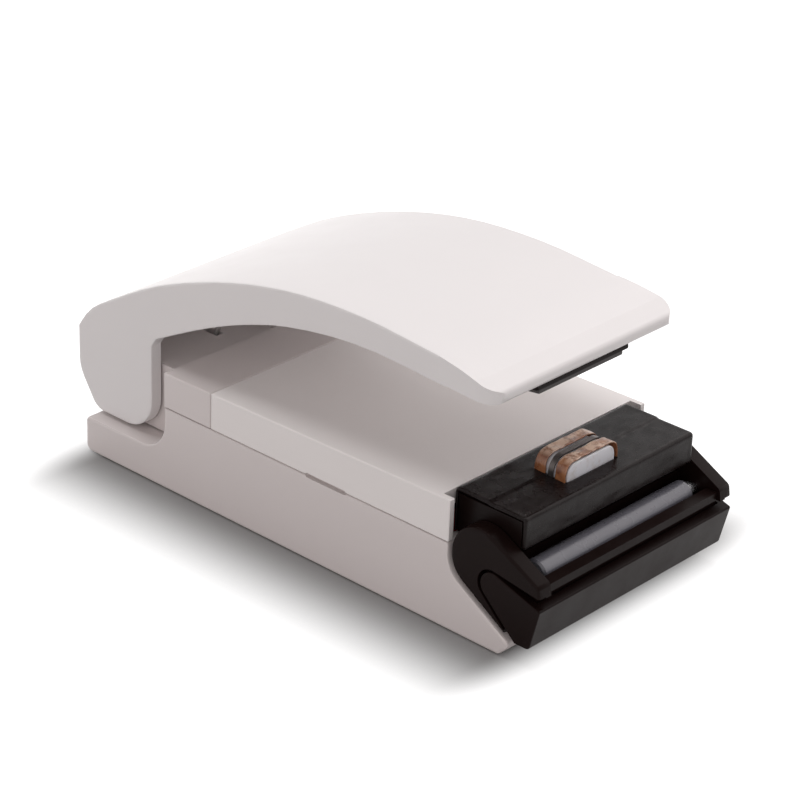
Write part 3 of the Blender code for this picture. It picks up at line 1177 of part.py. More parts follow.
def build_roller(glossy, steel):
    """The guide roller and its stepped axle."""
    centre = (ROLLER_X, 0, ROLLER_HEIGHT)
    half = ROLLER_HALF_LENGTH
    inner = ROLLER_RADIUS - ROLLER_EDGE
    bore = AXLE_RADIUS + RUNNING_GAP
    profile = [(bore, half), (inner, half), (ROLLER_RADIUS, half - ROLLER_EDGE),
               (ROLLER_RADIUS, ROLLER_EDGE - half), (inner, -half), (bore, -half), (bore, half)]
    roller = turned("guide_roller", profile, centre, "Y", glossy)
    end = CRADLE_INNER_Y + AXLE_POCKET - FIT_GAP
    collar_in = half + FIT_GAP
    collar_out = collar_in + AXLE_COLLAR_LENGTH
    steps = [(0, end), (AXLE_RADIUS, end), (AXLE_RADIUS, collar_out), (AXLE_COLLAR_RADIUS, collar_out),
             (AXLE_COLLAR_RADIUS, collar_in), (AXLE_RADIUS, collar_in)]
    mirrored = [(radius, -height) for radius, height in reversed(steps)]
    axle = turned("roller_axle", steps + mirrored, centre, "Y", steel)
    return roller, axle


def build_cells(label, steel):
    """Two AA cells side by side, facing opposite ways, with cone springs and contact plates."""
    rear_plate_x = BAY_REAR_X + CONTACT_GAP
    front_plate_x = BAY_FRONT_X - CONTACT_GAP - PLATE_THICKNESS
    rear_face = rear_plate_x + PLATE_THICKNESS + CONTACT_GAP
    front_face = front_plate_x - CONTACT_GAP
    pieces = []
    for name, side in SIDES:
        facing = -side
        tip_x = rear_face if facing < 0 else front_face
        tip = CELL_LENGTH
        body_end = tip - CELL_NUB_LENGTH
        profile = [
            (0, tip), (CELL_NUB_RADIUS, tip), (CELL_NUB_RADIUS, body_end),
            (CELL_RADIUS - CELL_EDGE, body_end), (CELL_RADIUS, body_end - CELL_EDGE),
            (CELL_RADIUS, CELL_EDGE), (CELL_RADIUS - CELL_EDGE, CELL_BASE_STEP),
            (CELL_BASE_RADIUS, CELL_BASE_STEP), (CELL_BASE_RADIUS, 0), (0, 0)]
        flipped = [(radius, facing * (height - tip)) for radius, height in profile]
        if facing < 0:
            flipped.reverse()
        pieces.append(turned(f"cell_{name}", flipped, (tip_x, side * CELL_Y, CELL_Z), "X", label))
        spring_base = rear_face if facing > 0 else front_face
        end_name = "rear" if facing > 0 else "front"
        wire = CELL_SPRING_WIRE_RADIUS
        count = round(CELL_SPRING_TURNS * SPRING_TURN_POINTS)
        route = []
        for step in range(count + 1):
            share = step / count
            radius = CELL_SPRING_RADIUS + (CELL_SPRING_TIP_RADIUS - CELL_SPRING_RADIUS) * share
            angle = math.tau * CELL_SPRING_TURNS * share
            along = wire + (CELL_SPRING_LENGTH - 2 * wire) * share
            route.append((spring_base + facing * along, side * CELL_Y + radius * math.cos(angle),
                          CELL_Z + radius * math.sin(angle)))
        pieces.append(tube(f"cell_spring_{end_name}", route, wire, steel))
    plates = (("contact_bridge", rear_plate_x, 0, PLATE_WIDTH + 2 * CELL_Y, 0),
              ("contact_positive", front_plate_x, -CELL_Y, PLATE_WIDTH, -1),
              ("contact_negative", front_plate_x, CELL_Y, PLATE_WIDTH, 1))
    for name, x, y, width, tab_side in plates:
        wide, tall, radius = width / 2, PLATE_HEIGHT / 2, PLATE_CORNER
        corners = [(y - wide, CELL_Z - tall, radius), (y + wide, CELL_Z - tall, radius),
                   (y + wide, CELL_Z + tall, radius)]
        if tab_side:
            tab_top = CELL_Z + tall + PLATE_TAB_HEIGHT
            corners += [(y + PLATE_TAB_WIDTH, CELL_Z + tall, 0), (y + PLATE_TAB_WIDTH, tab_top, FINE_EDGE),
                        (y - PLATE_TAB_WIDTH, tab_top, FINE_EDGE), (y - PLATE_TAB_WIDTH, CELL_Z + tall, 0)]
        corners.append((y - wide, CELL_Z + tall, radius))
        pieces.append(slab(name, rounded(corners), x, x + PLATE_THICKNESS, "X", steel))
    return pieces


def build_wires(red, black):
    """Internal wires: battery to switch, switch to head, battery to head."""
    gate_top = PARTING_HEIGHT - WIRE_RADIUS - FIT_GAP
    shelf_foot = SHELF_HEIGHT - SHELF_THICKNESS - WIRE_RADIUS - CHEEK_GAP
    plate_x = BAY_FRONT_X - WIRE_FRONT_SETBACK
    tab_z = CELL_Z + PLATE_HEIGHT / 2 + PLATE_TAB_HEIGHT + WIRE_RADIUS + FIT_GAP
    rear_x = BAY_REAR_X + WIRE_TURN
    block_x = NOTCH_X - FIT_GAP - WIRE_RADIUS
    switch_x = HINGE_X + SWITCH_ARM + WIRE_TURN / 2
    switch_y = SWITCH_BODY_WIDTH / 2 + WIRE_RADIUS + FIT_GAP
    head_x = SCREW_FRONT_X
    head_z = BLOCK_TOP - FILM_ROOM - BLOCK_WALL - FIT_GAP
    low_z = shelf_foot - WIRE_SPACING

    def rear_run(side):
        """From the lane's rear end through the gate to the switch."""
        return [(rear_x, side * WIRE_LANE, WIRE_HEIGHT), (rear_x, side * WIRE_LANE, gate_top),
                (rear_x - WIRE_TURN / 2, side * WIRE_GATE_Y, gate_top),
                (block_x, side * WIRE_GATE_Y, gate_top),
                (block_x, SWITCH_Y + side * (switch_y + WIRE_TURN), gate_top),
                (switch_x, SWITCH_Y + side * switch_y, gate_top)]

    def head_run(z, end_y):
        """From the right front gate to the foot of the block's roof."""
        return [(plate_x, WIRE_GATE_Y, z), (CRADLE_X, WIRE_GATE_Y, z),
                (head_x - 2 * WIRE_TURN, WIRE_HEAD_TURN, z), (head_x, end_y, z), (head_x, end_y, head_z)]

    supply = [(plate_x, -CELL_Y, tab_z), (plate_x, -WIRE_LANE, tab_z), (plate_x, -WIRE_LANE, WIRE_HEIGHT)]
    feed = [(plate_x, WIRE_LANE, WIRE_HEIGHT), (plate_x, WIRE_LANE, low_z)]
    back = [(plate_x, CELL_Y, tab_z), (plate_x, WIRE_INNER_LANE, tab_z), (plate_x, WIRE_INNER_LANE, shelf_foot)]
    return [
        tube("wire_switch", supply + rear_run(-1), WIRE_RADIUS, red),
        tube("wire_head_feed", list(reversed(rear_run(1))) + feed + head_run(low_z, -WIRE_HEAD_SPREAD),
             WIRE_RADIUS, red),
        tube("wire_head_return", back + head_run(shelf_foot, WIRE_HEAD_SPREAD), WIRE_RADIUS, black)]


def build_screws(steel):
    """The four slotted screws, from below."""
    pieces = []
    foot = SCREW_RECESS
    head_top = foot + SCREW_HEAD_HEIGHT
    tip = PAD_TOP + SCREW_BITE
    for name, x, y in screw_places():
        profile = [(0, tip), (SCREW_SHANK_RADIUS / 3, tip), (SCREW_SHANK_RADIUS, tip - SCREW_POINT),
                   (SCREW_SHANK_RADIUS, head_top), (SCREW_HEAD_RADIUS, head_top),
                   (SCREW_HEAD_RADIUS, foot), (0, foot)]
        screw = turned(f"screw_{name}", profile, (x, y, 0), "Z", steel, sides=SMALL_SIDES)
        slot = cutter_box(f"driver_slot_{name}", (x - PAD_RADIUS, y - SCREW_SLOT_WIDTH / 2, NEAR_Z),
                          (x + PAD_RADIUS, y + SCREW_SLOT_WIDTH / 2, foot + SCREW_SLOT_DEPTH))
        cut(screw, slot)
        pieces.append(screw)
    return pieces


def main():
    """Build every piece and put the moving ones on their joints."""
    start()
    white = finish("shell_white", (0.80, 0.78, 0.77), 0.35)
    black = finish("trim_black", (0.025, 0.020, 0.019), 0.30)
    film = finish("film_dark", (0.040, 0.036, 0.038), 0.35)
    rubber = finish("pad_rubber", (0.030, 0.026, 0.025), 0.65)
    glossy = finish("roller_grey", (0.10, 0.115, 0.14), 0.18)
    ceramic = finish("element_pale", (0.60, 0.62, 0.68), 0.35)
    amber = finish("tape_amber", (0.42, 0.16, 0.06), 0.25)
    ribbon_metal = finish("ribbon_dark", (0.06, 0.05, 0.05), 0.40, 0.8)
    steel = finish("steel", (0.62, 0.62, 0.64), 0.25, 1.0)
    label = finish("cell_label", (0.20, 0.22, 0.26), 0.35)
    switch_black = finish("switch_black", (0.05, 0.05, 0.05), 0.5)
    red = finish("wire_red", (0.45, 0.03, 0.03), 0.45)

    build_lower_shell(white)
    build_rear_housing(white)
    cover = build_battery_cover(white)
    lever = build_lever(white)
    pad, holder = build_pad(rubber, black)
    build_pin(steel)
    build_return_spring(steel, lever_paths()[0])
    _, plunger = build_switch(switch_black, white)
    build_head_block(black)
    build_film(film)
    build_element(ceramic, amber, ribbon_metal)
    build_cradle(black)
    build_cradle_cover(black)
    roller, _ = build_roller(glossy, steel)
    build_cells(label, steel)
    build_wires(red, black)
    build_screws(steel)
    pivot("lever_pivot", HINGE, [lever, pad, holder])
    pivot("roller_pivot", (ROLLER_X, 0, ROLLER_HEIGHT), [roller])
    pivot("cover_pivot", (BAY_X, 0, DECK_REAR_HEIGHT), [cover])
    pivot("plunger_pivot", (HINGE_X + SWITCH_ARM, SWITCH_Y, HINGE_BLOCK_TOP), [plunger])


main()
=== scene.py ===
import json
import logging
import math
from dataclasses import dataclass
from enum import Enum
from typing import Callable, Dict, List, Sequence, Tuple, Union

import bmesh
import bpy
from mathutils import Matrix, Vector, noise

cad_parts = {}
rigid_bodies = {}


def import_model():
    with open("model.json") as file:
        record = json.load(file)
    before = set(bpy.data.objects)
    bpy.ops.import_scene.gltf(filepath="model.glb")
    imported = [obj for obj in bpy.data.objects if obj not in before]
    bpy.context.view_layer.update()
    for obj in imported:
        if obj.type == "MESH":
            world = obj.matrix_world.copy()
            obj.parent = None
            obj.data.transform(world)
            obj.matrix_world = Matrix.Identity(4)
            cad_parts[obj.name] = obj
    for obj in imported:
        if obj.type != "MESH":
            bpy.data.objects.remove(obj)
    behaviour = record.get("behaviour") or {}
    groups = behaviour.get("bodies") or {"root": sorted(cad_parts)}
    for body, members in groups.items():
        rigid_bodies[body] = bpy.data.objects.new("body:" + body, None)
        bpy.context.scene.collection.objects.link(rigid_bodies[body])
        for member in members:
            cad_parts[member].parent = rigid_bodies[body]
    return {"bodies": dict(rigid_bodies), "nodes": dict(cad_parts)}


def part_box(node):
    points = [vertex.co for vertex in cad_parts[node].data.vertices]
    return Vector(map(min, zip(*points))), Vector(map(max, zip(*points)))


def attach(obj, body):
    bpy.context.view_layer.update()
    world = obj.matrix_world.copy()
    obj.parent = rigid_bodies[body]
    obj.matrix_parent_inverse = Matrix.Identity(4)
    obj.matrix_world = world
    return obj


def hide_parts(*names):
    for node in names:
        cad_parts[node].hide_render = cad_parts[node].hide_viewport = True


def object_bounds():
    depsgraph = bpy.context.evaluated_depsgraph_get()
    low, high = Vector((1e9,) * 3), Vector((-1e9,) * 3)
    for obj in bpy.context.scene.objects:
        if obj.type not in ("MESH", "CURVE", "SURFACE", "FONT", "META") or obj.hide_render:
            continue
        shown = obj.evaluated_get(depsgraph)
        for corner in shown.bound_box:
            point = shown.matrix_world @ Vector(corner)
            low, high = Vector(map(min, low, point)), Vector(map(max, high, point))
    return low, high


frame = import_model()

CAD_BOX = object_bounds()
LOG = logging.getLogger("bag_sealer")

Colour = Tuple[float, float, float]
Triple = Tuple[float, float, float]
Point = Tuple[float, float]
Span = Tuple[float, float]
Socket = bpy.types.NodeSocket

MILLIMETRE = 0.001
PER_MILLIMETRE = 1000.0
NOISE_BAND: Span = (0.3, 0.7)
FULL_BAND: Span = (0.0, 1.0)
WHITE = (1.0, 1.0, 1.0, 1.0)
CORNER_STEPS = 8
SHORTEST_LEG = 1e-9
INWARDS = -1.0


class Coating(Enum):
    """How a moulded surface was left by its tool: the value is how far its roughness swings."""

    SPARK_TEXTURED = 0.03
    POLISHED = 0.05


@dataclass(frozen=True)
class Clouds:
    """A noise field: blotch size, finer layers, how strong they are, and a factor on each axis.

    A smaller factor draws the blotches out along that axis.
    """

    feature_mm: float
    detail: float = 3.0
    roughness: float = 0.5
    stretch: Triple = (1.0, 1.0, 1.0)


def join(tree: bpy.types.NodeTree, operation: str, first: Socket, second: Socket) -> Socket:
    """Combine two fields.

    Args:
        tree: the node tree that holds them.
        operation: the math node's operation.
        first: one field.
        second: the other.

    Returns:
        The combined field.
    """
    node = tree.nodes.new("ShaderNodeMath")
    node.operation = operation
    tree.links.new(first, node.inputs[0])
    tree.links.new(second, node.inputs[1])
    return node.outputs["Value"]


class MaterialSheet:
    """A procedural material under construction."""

    def __init__(self, name: str) -> None:
        """Start an empty Principled material.

        Args:
            name: the material's name.
        """
        self.material = bpy.data.materials.new(name)
        self.material.use_nodes = True
        self.tree = self.material.node_tree
        self.shader = self.tree.nodes["Principled BSDF"]
        self.place = self.add("ShaderNodeTexCoord").outputs["Object"]

    def add(self, kind: str, **values: float) -> bpy.types.Node:
        """Add a node and set its input sockets by name.

        Args:
            kind: the node's type name.
            values: socket names, with spaces as underscores, and their values.

        Returns:
            The new node.
        """
        node = self.tree.nodes.new(kind)
        for key, value in values.items():
            node.inputs[key.replace("_", " ")].default_value = value
        return node

    def link(self, source: Socket, target: Socket) -> None:
        """Join an output to an input.

        Args:
            source: the output.
            target: the input.
        """
        self.tree.links.new(source, target)

    def constant(self, **values: float) -> None:
        """Set the shader's own sockets.

        Args:
            values: socket names, with spaces as underscores, and their values.
        """
        for key, value in values.items():
            self.shader.inputs[key.replace("_", " ")].default_value = value

    def clouds(self, grain: Clouds) -> Socket:
        """Add a noise field.

        Args:
            grain: what the noise looks like.

        Returns:
            The field, about 0 to 1.
        """
        mapping = self.add("ShaderNodeMapping")
        mapping.inputs["Scale"].default_value = grain.stretch
        self.link(self.place, mapping.inputs["Vector"])
        field = self.add("ShaderNodeTexNoise", Scale=PER_MILLIMETRE / grain.feature_mm,
                         Detail=grain.detail, Roughness=grain.roughness)
        self.link(mapping.outputs["Vector"], field.inputs["Vector"])
        return field.outputs["Fac"]

    def along(self, axis: str) -> Socket:
        """The place along one axis.

        Args:
            axis: X, Y or Z.

        Returns:
            The field, in metres.
        """
        split = self.add("ShaderNodeSeparateXYZ")
        self.link(self.place, split.inputs["Vector"])
        return split.outputs[axis]

    def spread(self, source: Socket, band: Span = NOISE_BAND, result: Span = FULL_BAND) -> Socket:
        """Map a field from one range to another, clamped.

        Args:
            source: the field.
            band: the range that is read.
            result: what its two ends become.

        Returns:
            The mapped field.
        """
        node = self.add("ShaderNodeMapRange", From_Min=band[0], From_Max=band[1],
                        To_Min=result[0], To_Max=result[1])
        self.link(source, node.inputs["Value"])
        return node.outputs["Result"]

    def blend(self, factor: Socket, first: Union[Colour, Socket], second: Colour) -> Socket:
        """Blend two colours by a field.

        Args:
            factor: the field.
            first: the colour, or colour field, where it is 0.
            second: the colour where it is 1.

        Returns:
            The blended colour field.
        """
        node = self.tree.nodes.new("ShaderNodeMix")
        node.data_type = "RGBA"
        self.link(factor, node.inputs["Factor"])
        start, end = [socket for socket in node.inputs if socket.type == "RGBA"]
        if isinstance(first, Socket):
            self.link(first, start)
        else:
            start.default_value = (*first, 1.0)
        end.default_value = (*second, 1.0)
        return next(socket for socket in node.outputs if socket.type == "RGBA")

    def colour(self, field: Socket) -> None:
        """Use a colour field as the base colour.

        Args:
            field: the colour field.
        """
        self.link(field, self.shader.inputs["Base Color"])

    def roughness(self, grain: Clouds, result: Span) -> Socket:
        """Let the roughness follow a noise field.

        Args:
            grain: what the noise looks like.
            result: the roughness at its low and high ends.

        Returns:
            The noise field.
        """
        field = self.clouds(grain)
        self.link(self.spread(field, NOISE_BAND, result), self.shader.inputs["Roughness"])
        return field

    def relief(self, *layers: Tuple[Union[Clouds, Socket], float]) -> None:
        """Stack bump layers on the normal.

        Args:
            layers: pairs of a noise or height field and its depth in millimetres.
        """
        normal = None
        for layer, depth_mm in layers:
            field = self.clouds(layer) if isinstance(layer, Clouds) else layer
            bump = self.add("ShaderNodeBump", Strength=1.0, Distance=depth_mm * MILLIMETRE)
            self.link(field, bump.inputs["Height"])
            if normal is not None:
                self.link(normal, bump.inputs["Normal"])
            normal = bump.outputs["Normal"]
        self.link(normal, self.shader.inputs["Normal"])


def shade(colour: Colour, factor: float) -> Colour:
    """Make a colour lighter or darker.

    Args:
        colour: the colour.
        factor: how much lighter or darker.

    Returns:
        The new colour.
    """
    return tuple(min(1.0, channel * factor) for channel in colour)


@dataclass(frozen=True)
class MouldedPlastic:
    """Injection-moulded plastic with a fine tool texture and slow flow mottling."""

    name: str
    colour: Colour
    gloss_roughness: float
    mottle: float = 0.03
    grain_mm: float = 0.25
    grain_depth_mm: float = 0.0007
    specular: float = 0.5
    coating: Coating = Coating.SPARK_TEXTURED
    grain_detail: float = 2.0
    flow: Clouds = Clouds(14.0, 3.0, 0.45)
    handling: Clouds = Clouds(4.0, 4.0, 0.6)
    sink: Clouds = Clouds(9.0, 2.0)
    sink_depth_mm: float = 0.006

    def build(self) -> bpy.types.Material:
        """Make the material.

        Returns:
            The material.
        """
        sheet = MaterialSheet(self.name)
        sheet.colour(sheet.blend(sheet.spread(sheet.clouds(self.flow)),
                                 shade(self.colour, 1 - self.mottle),
                                 shade(self.colour, 1 + self.mottle)))
        swing = self.coating.value
        sheet.roughness(self.handling, (self.gloss_roughness - swing, self.gloss_roughness + swing))
        sheet.constant(Specular_IOR_Level=self.specular)
        sheet.relief((self.sink, self.sink_depth_mm),
                     (Clouds(self.grain_mm, self.grain_detail), self.grain_depth_mm))
        return sheet.material


@dataclass(frozen=True)
class WrappedFilmFinish:
    """Dark heat-proof film, smooth with slack wrinkles."""

    name: str = "dark_wrapped_film"
    warm: Colour = (0.0070, 0.0036, 0.0032)
    cool: Colour = (0.0125, 0.0090, 0.0090)
    stain: Clouds = Clouds(7.0, 4.0, 0.6)
    stain_band: Span = (0.35, 0.65)
    smear: Clouds = Clouds(3.5, 4.0, 0.65)
    smear_roughness: Span = (0.20, 0.34)
    specular: float = 0.10
    wrinkle: Clouds = Clouds(3.2, 3.0, 0.5, (1.0, 0.35, 1.0))
    wrinkle_depth_mm: float = 0.08
    grain: Clouds = Clouds(0.6, 2.0)
    grain_depth_mm: float = 0.002

    def build(self) -> bpy.types.Material:
        """Make the material.

        Returns:
            The material.
        """
        sheet = MaterialSheet(self.name)
        stain = sheet.spread(sheet.clouds(self.stain), self.stain_band)
        sheet.colour(sheet.blend(stain, self.warm, self.cool))
        sheet.roughness(self.smear, self.smear_roughness)
        sheet.constant(Specular_IOR_Level=self.specular)
        sheet.relief((self.wrinkle, self.wrinkle_depth_mm), (self.grain, self.grain_depth_mm))
        return sheet.material


@dataclass(frozen=True)
class AmberTapeFinish:
    """Heat-proof amber tape, pale in patches along its crest: partly wear, partly a painted
    highlight on its top.
    """

    name: str = "amber_tape"
    deep: Colour = (0.150, 0.048, 0.018)
    bright: Colour = (0.330, 0.135, 0.055)
    pale_wear_and_highlight: Colour = (0.760, 0.560, 0.420)
    streak: Clouds = Clouds(1.6, 4.0, 0.6, (1.0, 0.4, 1.0))
    streak_band: Span = (0.35, 0.65)
    crest_band: Span = (0.0236, 0.0244)
    patch: Clouds = Clouds(2.3, 4.0, 0.65)
    patch_band: Span = (0.44, 0.54)
    smear: Clouds = Clouds(0.9)
    smear_roughness: Span = (0.22, 0.42)
    varnish: float = 0.25
    varnish_roughness: float = 0.2
    crease: Clouds = Clouds(1.1, 3.0, 0.5)
    crease_depth_mm: float = 0.05

    def build(self) -> bpy.types.Material:
        """Make the material.

        Returns:
            The material.
        """
        sheet = MaterialSheet(self.name)
        streak = sheet.spread(sheet.clouds(self.streak), self.streak_band)
        ground = sheet.blend(streak, self.deep, self.bright)
        # The pale crest is chosen by height, so it paints a highlight on the tape's top; the noise
        # patches break it up like wear.
        crest = sheet.spread(sheet.along("Z"), self.crest_band)
        patch = sheet.spread(sheet.clouds(self.patch), self.patch_band)
        wear_and_highlight = join(sheet.tree, "MULTIPLY", crest, patch)
        sheet.colour(sheet.blend(wear_and_highlight, ground, self.pale_wear_and_highlight))
        sheet.roughness(self.smear, self.smear_roughness)
        sheet.constant(Coat_Weight=self.varnish, Coat_Roughness=self.varnish_roughness)
        sheet.relief((self.crease, self.crease_depth_mm))
        return sheet.material


@dataclass(frozen=True)
class MetalFinish:
    """Drawn or turned metal with fine brush lines."""

    name: str
    colour: Colour
    base_roughness: float
    smoother: float = 0.05
    rougher: float = 0.08
    tarnish: Clouds = Clouds(3.0)
    tarnish_shade: float = 0.88
    brush: Clouds = Clouds(0.12, 2.0, 0.5, (1.0, 0.08, 1.0))
    brush_depth_mm: float = 0.002

    def build(self) -> bpy.types.Material:
        """Make the material.

        Returns:
            The material.
        """
        sheet = MaterialSheet(self.name)
        sheet.colour(sheet.blend(sheet.spread(sheet.clouds(self.tarnish)),
                                 shade(self.colour, self.tarnish_shade), self.colour))
        lines = sheet.roughness(self.brush, (self.base_roughness - self.smoother,
                                             self.base_roughness + self.rougher))
        sheet.constant(Metallic=1.0)
        sheet.relief((lines, self.brush_depth_mm))
        return sheet.material


@dataclass(frozen=True)
class CeramicFinish:
    """Pale heat-proof ceramic with faint scorching and chalky grain."""

    name: str = "pale_ceramic"
    clean: Colour = (0.830, 0.850, 0.900)
    scorched: Colour = (0.640, 0.600, 0.580)
    scorch: Clouds = Clouds(2.2, 4.0, 0.6)
    scorch_band: Span = (0.50, 0.75)
    chalk: Clouds = Clouds(0.8)
    chalk_roughness: Span = (0.45, 0.62)
    grain: Clouds = Clouds(0.22, 3.0)
    grain_depth_mm: float = 0.008

    def build(self) -> bpy.types.Material:
        """Make the material.

        Returns:
            The material.
        """
        sheet = MaterialSheet(self.name)
        scorch = sheet.spread(sheet.clouds(self.scorch), self.scorch_band)
        sheet.colour(sheet.blend(scorch, self.clean, self.scorched))
        sheet.roughness(self.chalk, self.chalk_roughness)
        sheet.relief((self.grain, self.grain_depth_mm))
        return sheet.material


@dataclass(frozen=True)
class CellWrapFinish:
    """A plain cell sleeve with bare steel at both ends."""

    rear: float
    front: float
    name: str = "cell_sleeve"
    sleeve: Colour = (0.055, 0.065, 0.085)
    steel: Colour = (0.600, 0.600, 0.620)
    bare_mm: float = 1.6
    edge_mm: float = 0.1
    smear: Clouds = Clouds(3.0)
    smear_roughness: Span = (0.26, 0.36)
    grain: Clouds = Clouds(0.5)
    grain_depth_mm: float = 0.004

    def build(self) -> bpy.types.Material:
        """Make the material.

        Returns:
            The material.
        """
        sheet = MaterialSheet(self.name)
        along = sheet.along("X")
        edge = self.edge_mm * MILLIMETRE
        rear_end = self.rear + self.bare_mm * MILLIMETRE
        front_end = self.front - self.bare_mm * MILLIMETRE
        at_rear = sheet.spread(along, (rear_end, rear_end + edge), (1.0, 0.0))
        at_front = sheet.spread(along, (front_end - edge, front_end))
        ends = join(sheet.tree, "MAXIMUM", at_rear, at_front)
        sheet.colour(sheet.blend(ends, self.sleeve, self.steel))
        sheet.link(ends, sheet.shader.inputs["Metallic"])
        sheet.roughness(self.smear, self.smear_roughness)
        sheet.relief((self.grain, self.grain_depth_mm))
        return sheet.material


class Finishes:
    """Every finish of the sealer, made once."""

    def __init__(self) -> None:
        """Build the materials."""
        cell_low, cell_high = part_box("cell_left")
        polished = Coating.POLISHED
        # One white plastic in three copies: the shell copy is darker and warmer, painted shade for
        # the side walls, and the deck copy lighter, painted light for the deck under the lever.
        self.shell_white = MouldedPlastic(
            "shell_white", (0.695, 0.646, 0.636), 0.40, mottle=0.006).build()
        self.lever_white = MouldedPlastic(
            "lever_white", (0.810, 0.792, 0.792), 0.37, mottle=0.005, specular=0.36,
            coating=polished).build()
        self.deck_white_painted_light = MouldedPlastic(
            "deck_white_painted_light", (0.860, 0.828, 0.815), 0.44, mottle=0.006).build()
        self.trim_black = MouldedPlastic(
            "trim_black", (0.0080, 0.0038, 0.0033), 0.34, mottle=0.08, grain_mm=0.30,
            grain_depth_mm=0.0004, specular=0.05, coating=polished).build()
        self.block_black = MouldedPlastic(
            "block_black", (0.0070, 0.0037, 0.0033), 0.36, mottle=0.08, grain_mm=0.35,
            grain_depth_mm=0.0005, specular=0.06).build()
        self.roller_grey = MouldedPlastic(
            "roller_grey", (0.135, 0.136, 0.158), 0.28, mottle=0.04, grain_mm=0.4,
            grain_depth_mm=0.0004, specular=0.45, coating=polished).build()
        self.pad_rubber = MouldedPlastic(
            "pad_rubber", (0.022, 0.017, 0.016), 0.62, mottle=0.10, grain_mm=0.18,
            grain_depth_mm=0.004).build()
        self.switch_black = MouldedPlastic("switch_black", (0.030, 0.030, 0.031), 0.50).build()
        self.wire_red = MouldedPlastic("wire_red", (0.380, 0.025, 0.022), 0.38).build()
        self.wire_black = MouldedPlastic("wire_black", (0.020, 0.020, 0.021), 0.38).build()
        self.film = WrappedFilmFinish().build()
        self.amber_tape = AmberTapeFinish().build()
        self.ceramic = CeramicFinish().build()
        self.steel = MetalFinish("bright_steel", (0.620, 0.620, 0.640), 0.26).build()
        self.spring_steel = MetalFinish("spring_steel", (0.720, 0.715, 0.710), 0.44).build()
        self.ribbon = MetalFinish("heater_strip", (0.120, 0.105, 0.100), 0.40).build()
        self.cell = CellWrapFinish(cell_low.x, cell_high.x).build()


class SurfaceTools:
    """Even shading for the carried-over solids, kept in modifiers."""

    smooth_degrees = 32.0
    join_mm = 0.002

    def __init__(self) -> None:
        """Build the shared shading group."""
        self.group = self._shading_group()

    def _shading_group(self) -> bpy.types.NodeTree:
        """Make the node group that joins split corners and smooths shallow edges.

        Returns:
            The node group.
        """
        tree = bpy.data.node_groups.new("even_shading", "GeometryNodeTree")
        for way in ("INPUT", "OUTPUT"):
            tree.interface.new_socket("Geometry", in_out=way, socket_type="NodeSocketGeometry")
        start = tree.nodes.new("NodeGroupInput")
        end = tree.nodes.new("NodeGroupOutput")
        forget = tree.nodes.new("GeometryNodeRemoveAttribute")
        forget.inputs["Name"].default_value = "custom_normal"
        merge = tree.nodes.new("GeometryNodeMergeByDistance")
        merge.inputs["Distance"].default_value = self.join_mm * MILLIMETRE
        faces = tree.nodes.new("GeometryNodeSetShadeSmooth")
        faces.domain = "FACE"
        faces.inputs["Shade Smooth"].default_value = True
        angle = tree.nodes.new("GeometryNodeInputMeshEdgeAngle")
        sharp = tree.nodes.new("FunctionNodeCompare")
        sharp.data_type = "FLOAT"
        sharp.operation = "GREATER_THAN"
        sharp.inputs["B"].default_value = math.radians(self.smooth_degrees)
        edges = tree.nodes.new("GeometryNodeSetShadeSmooth")
        edges.domain = "EDGE"
        edges.inputs["Shade Smooth"].default_value = False
        links = tree.links
        links.new(start.outputs[0], forget.inputs["Geometry"])
        links.new(forget.outputs["Geometry"], merge.inputs["Geometry"])
        links.new(merge.outputs["Geometry"], faces.inputs["Geometry"])
        links.new(faces.outputs["Geometry"], edges.inputs["Geometry"])
        links.new(angle.outputs["Unsigned Angle"], sharp.inputs["A"])
        links.new(sharp.outputs["Result"], edges.inputs["Selection"])
        links.new(edges.outputs["Geometry"], end.inputs[0])
        return tree

    def dress(self, node: str, material: bpy.types.Material) -> None:
        """Give a carried-over node its finish and even shading.

        Args:
            node: the node's name.
            material: its finish.
        """
        thing = frame["nodes"][node]
        for place in thing.material_slots:
            place.link = "OBJECT"
            place.material = material
        shading = thing.modifiers.new("even_shading", "NODES")
        shading.node_group = self.group
        weighted = thing.modifiers.new("broad_faces_lead", "WEIGHTED_NORMAL")
        weighted.keep_sharp = True
        LOG.info("dressed %s", node)


def rounded_path(corners: Sequence[Triple], spacing: float) -> List[Point]:
    """Sample a path with rounded corners at an even spacing.

    Args:
        corners: points as two coordinates and a corner radius.
        spacing: the distance between samples.

    Returns:
        The samples, first to last corner.
    """
    raw: List[Vector] = []
    for index, (a, b, radius) in enumerate(corners):
        here = Vector((a, b))
        if not radius or index in (0, len(corners) - 1):
            raw.append(here)
            continue
        before = (Vector(corners[index - 1][:2]) - here).normalized()
        after = (Vector(corners[index + 1][:2]) - here).normalized()
        reach = radius / math.tan(before.angle(after) / 2)
        for step in range(CORNER_STEPS + 1):
            share = step / CORNER_STEPS
            first = here + before * reach * (1 - share)
            second = here + after * reach * share
            raw.append(first.lerp(second, share))
    travelled = [0.0]
    for first, second in zip(raw, raw[1:]):
        travelled.append(travelled[-1] + (second - first).length)
    count = max(2, round(travelled[-1] / spacing))
    path, leg = [], 0
    for index in range(count + 1):
        goal = travelled[-1] * index / count
        while leg < len(raw) - 2 and travelled[leg + 1] < goal:
            leg += 1
        span = max(travelled[leg + 1] - travelled[leg], SHORTEST_LEG)
        path.append(tuple(raw[leg].lerp(raw[leg + 1], (goal - travelled[leg]) / span)))
    return path


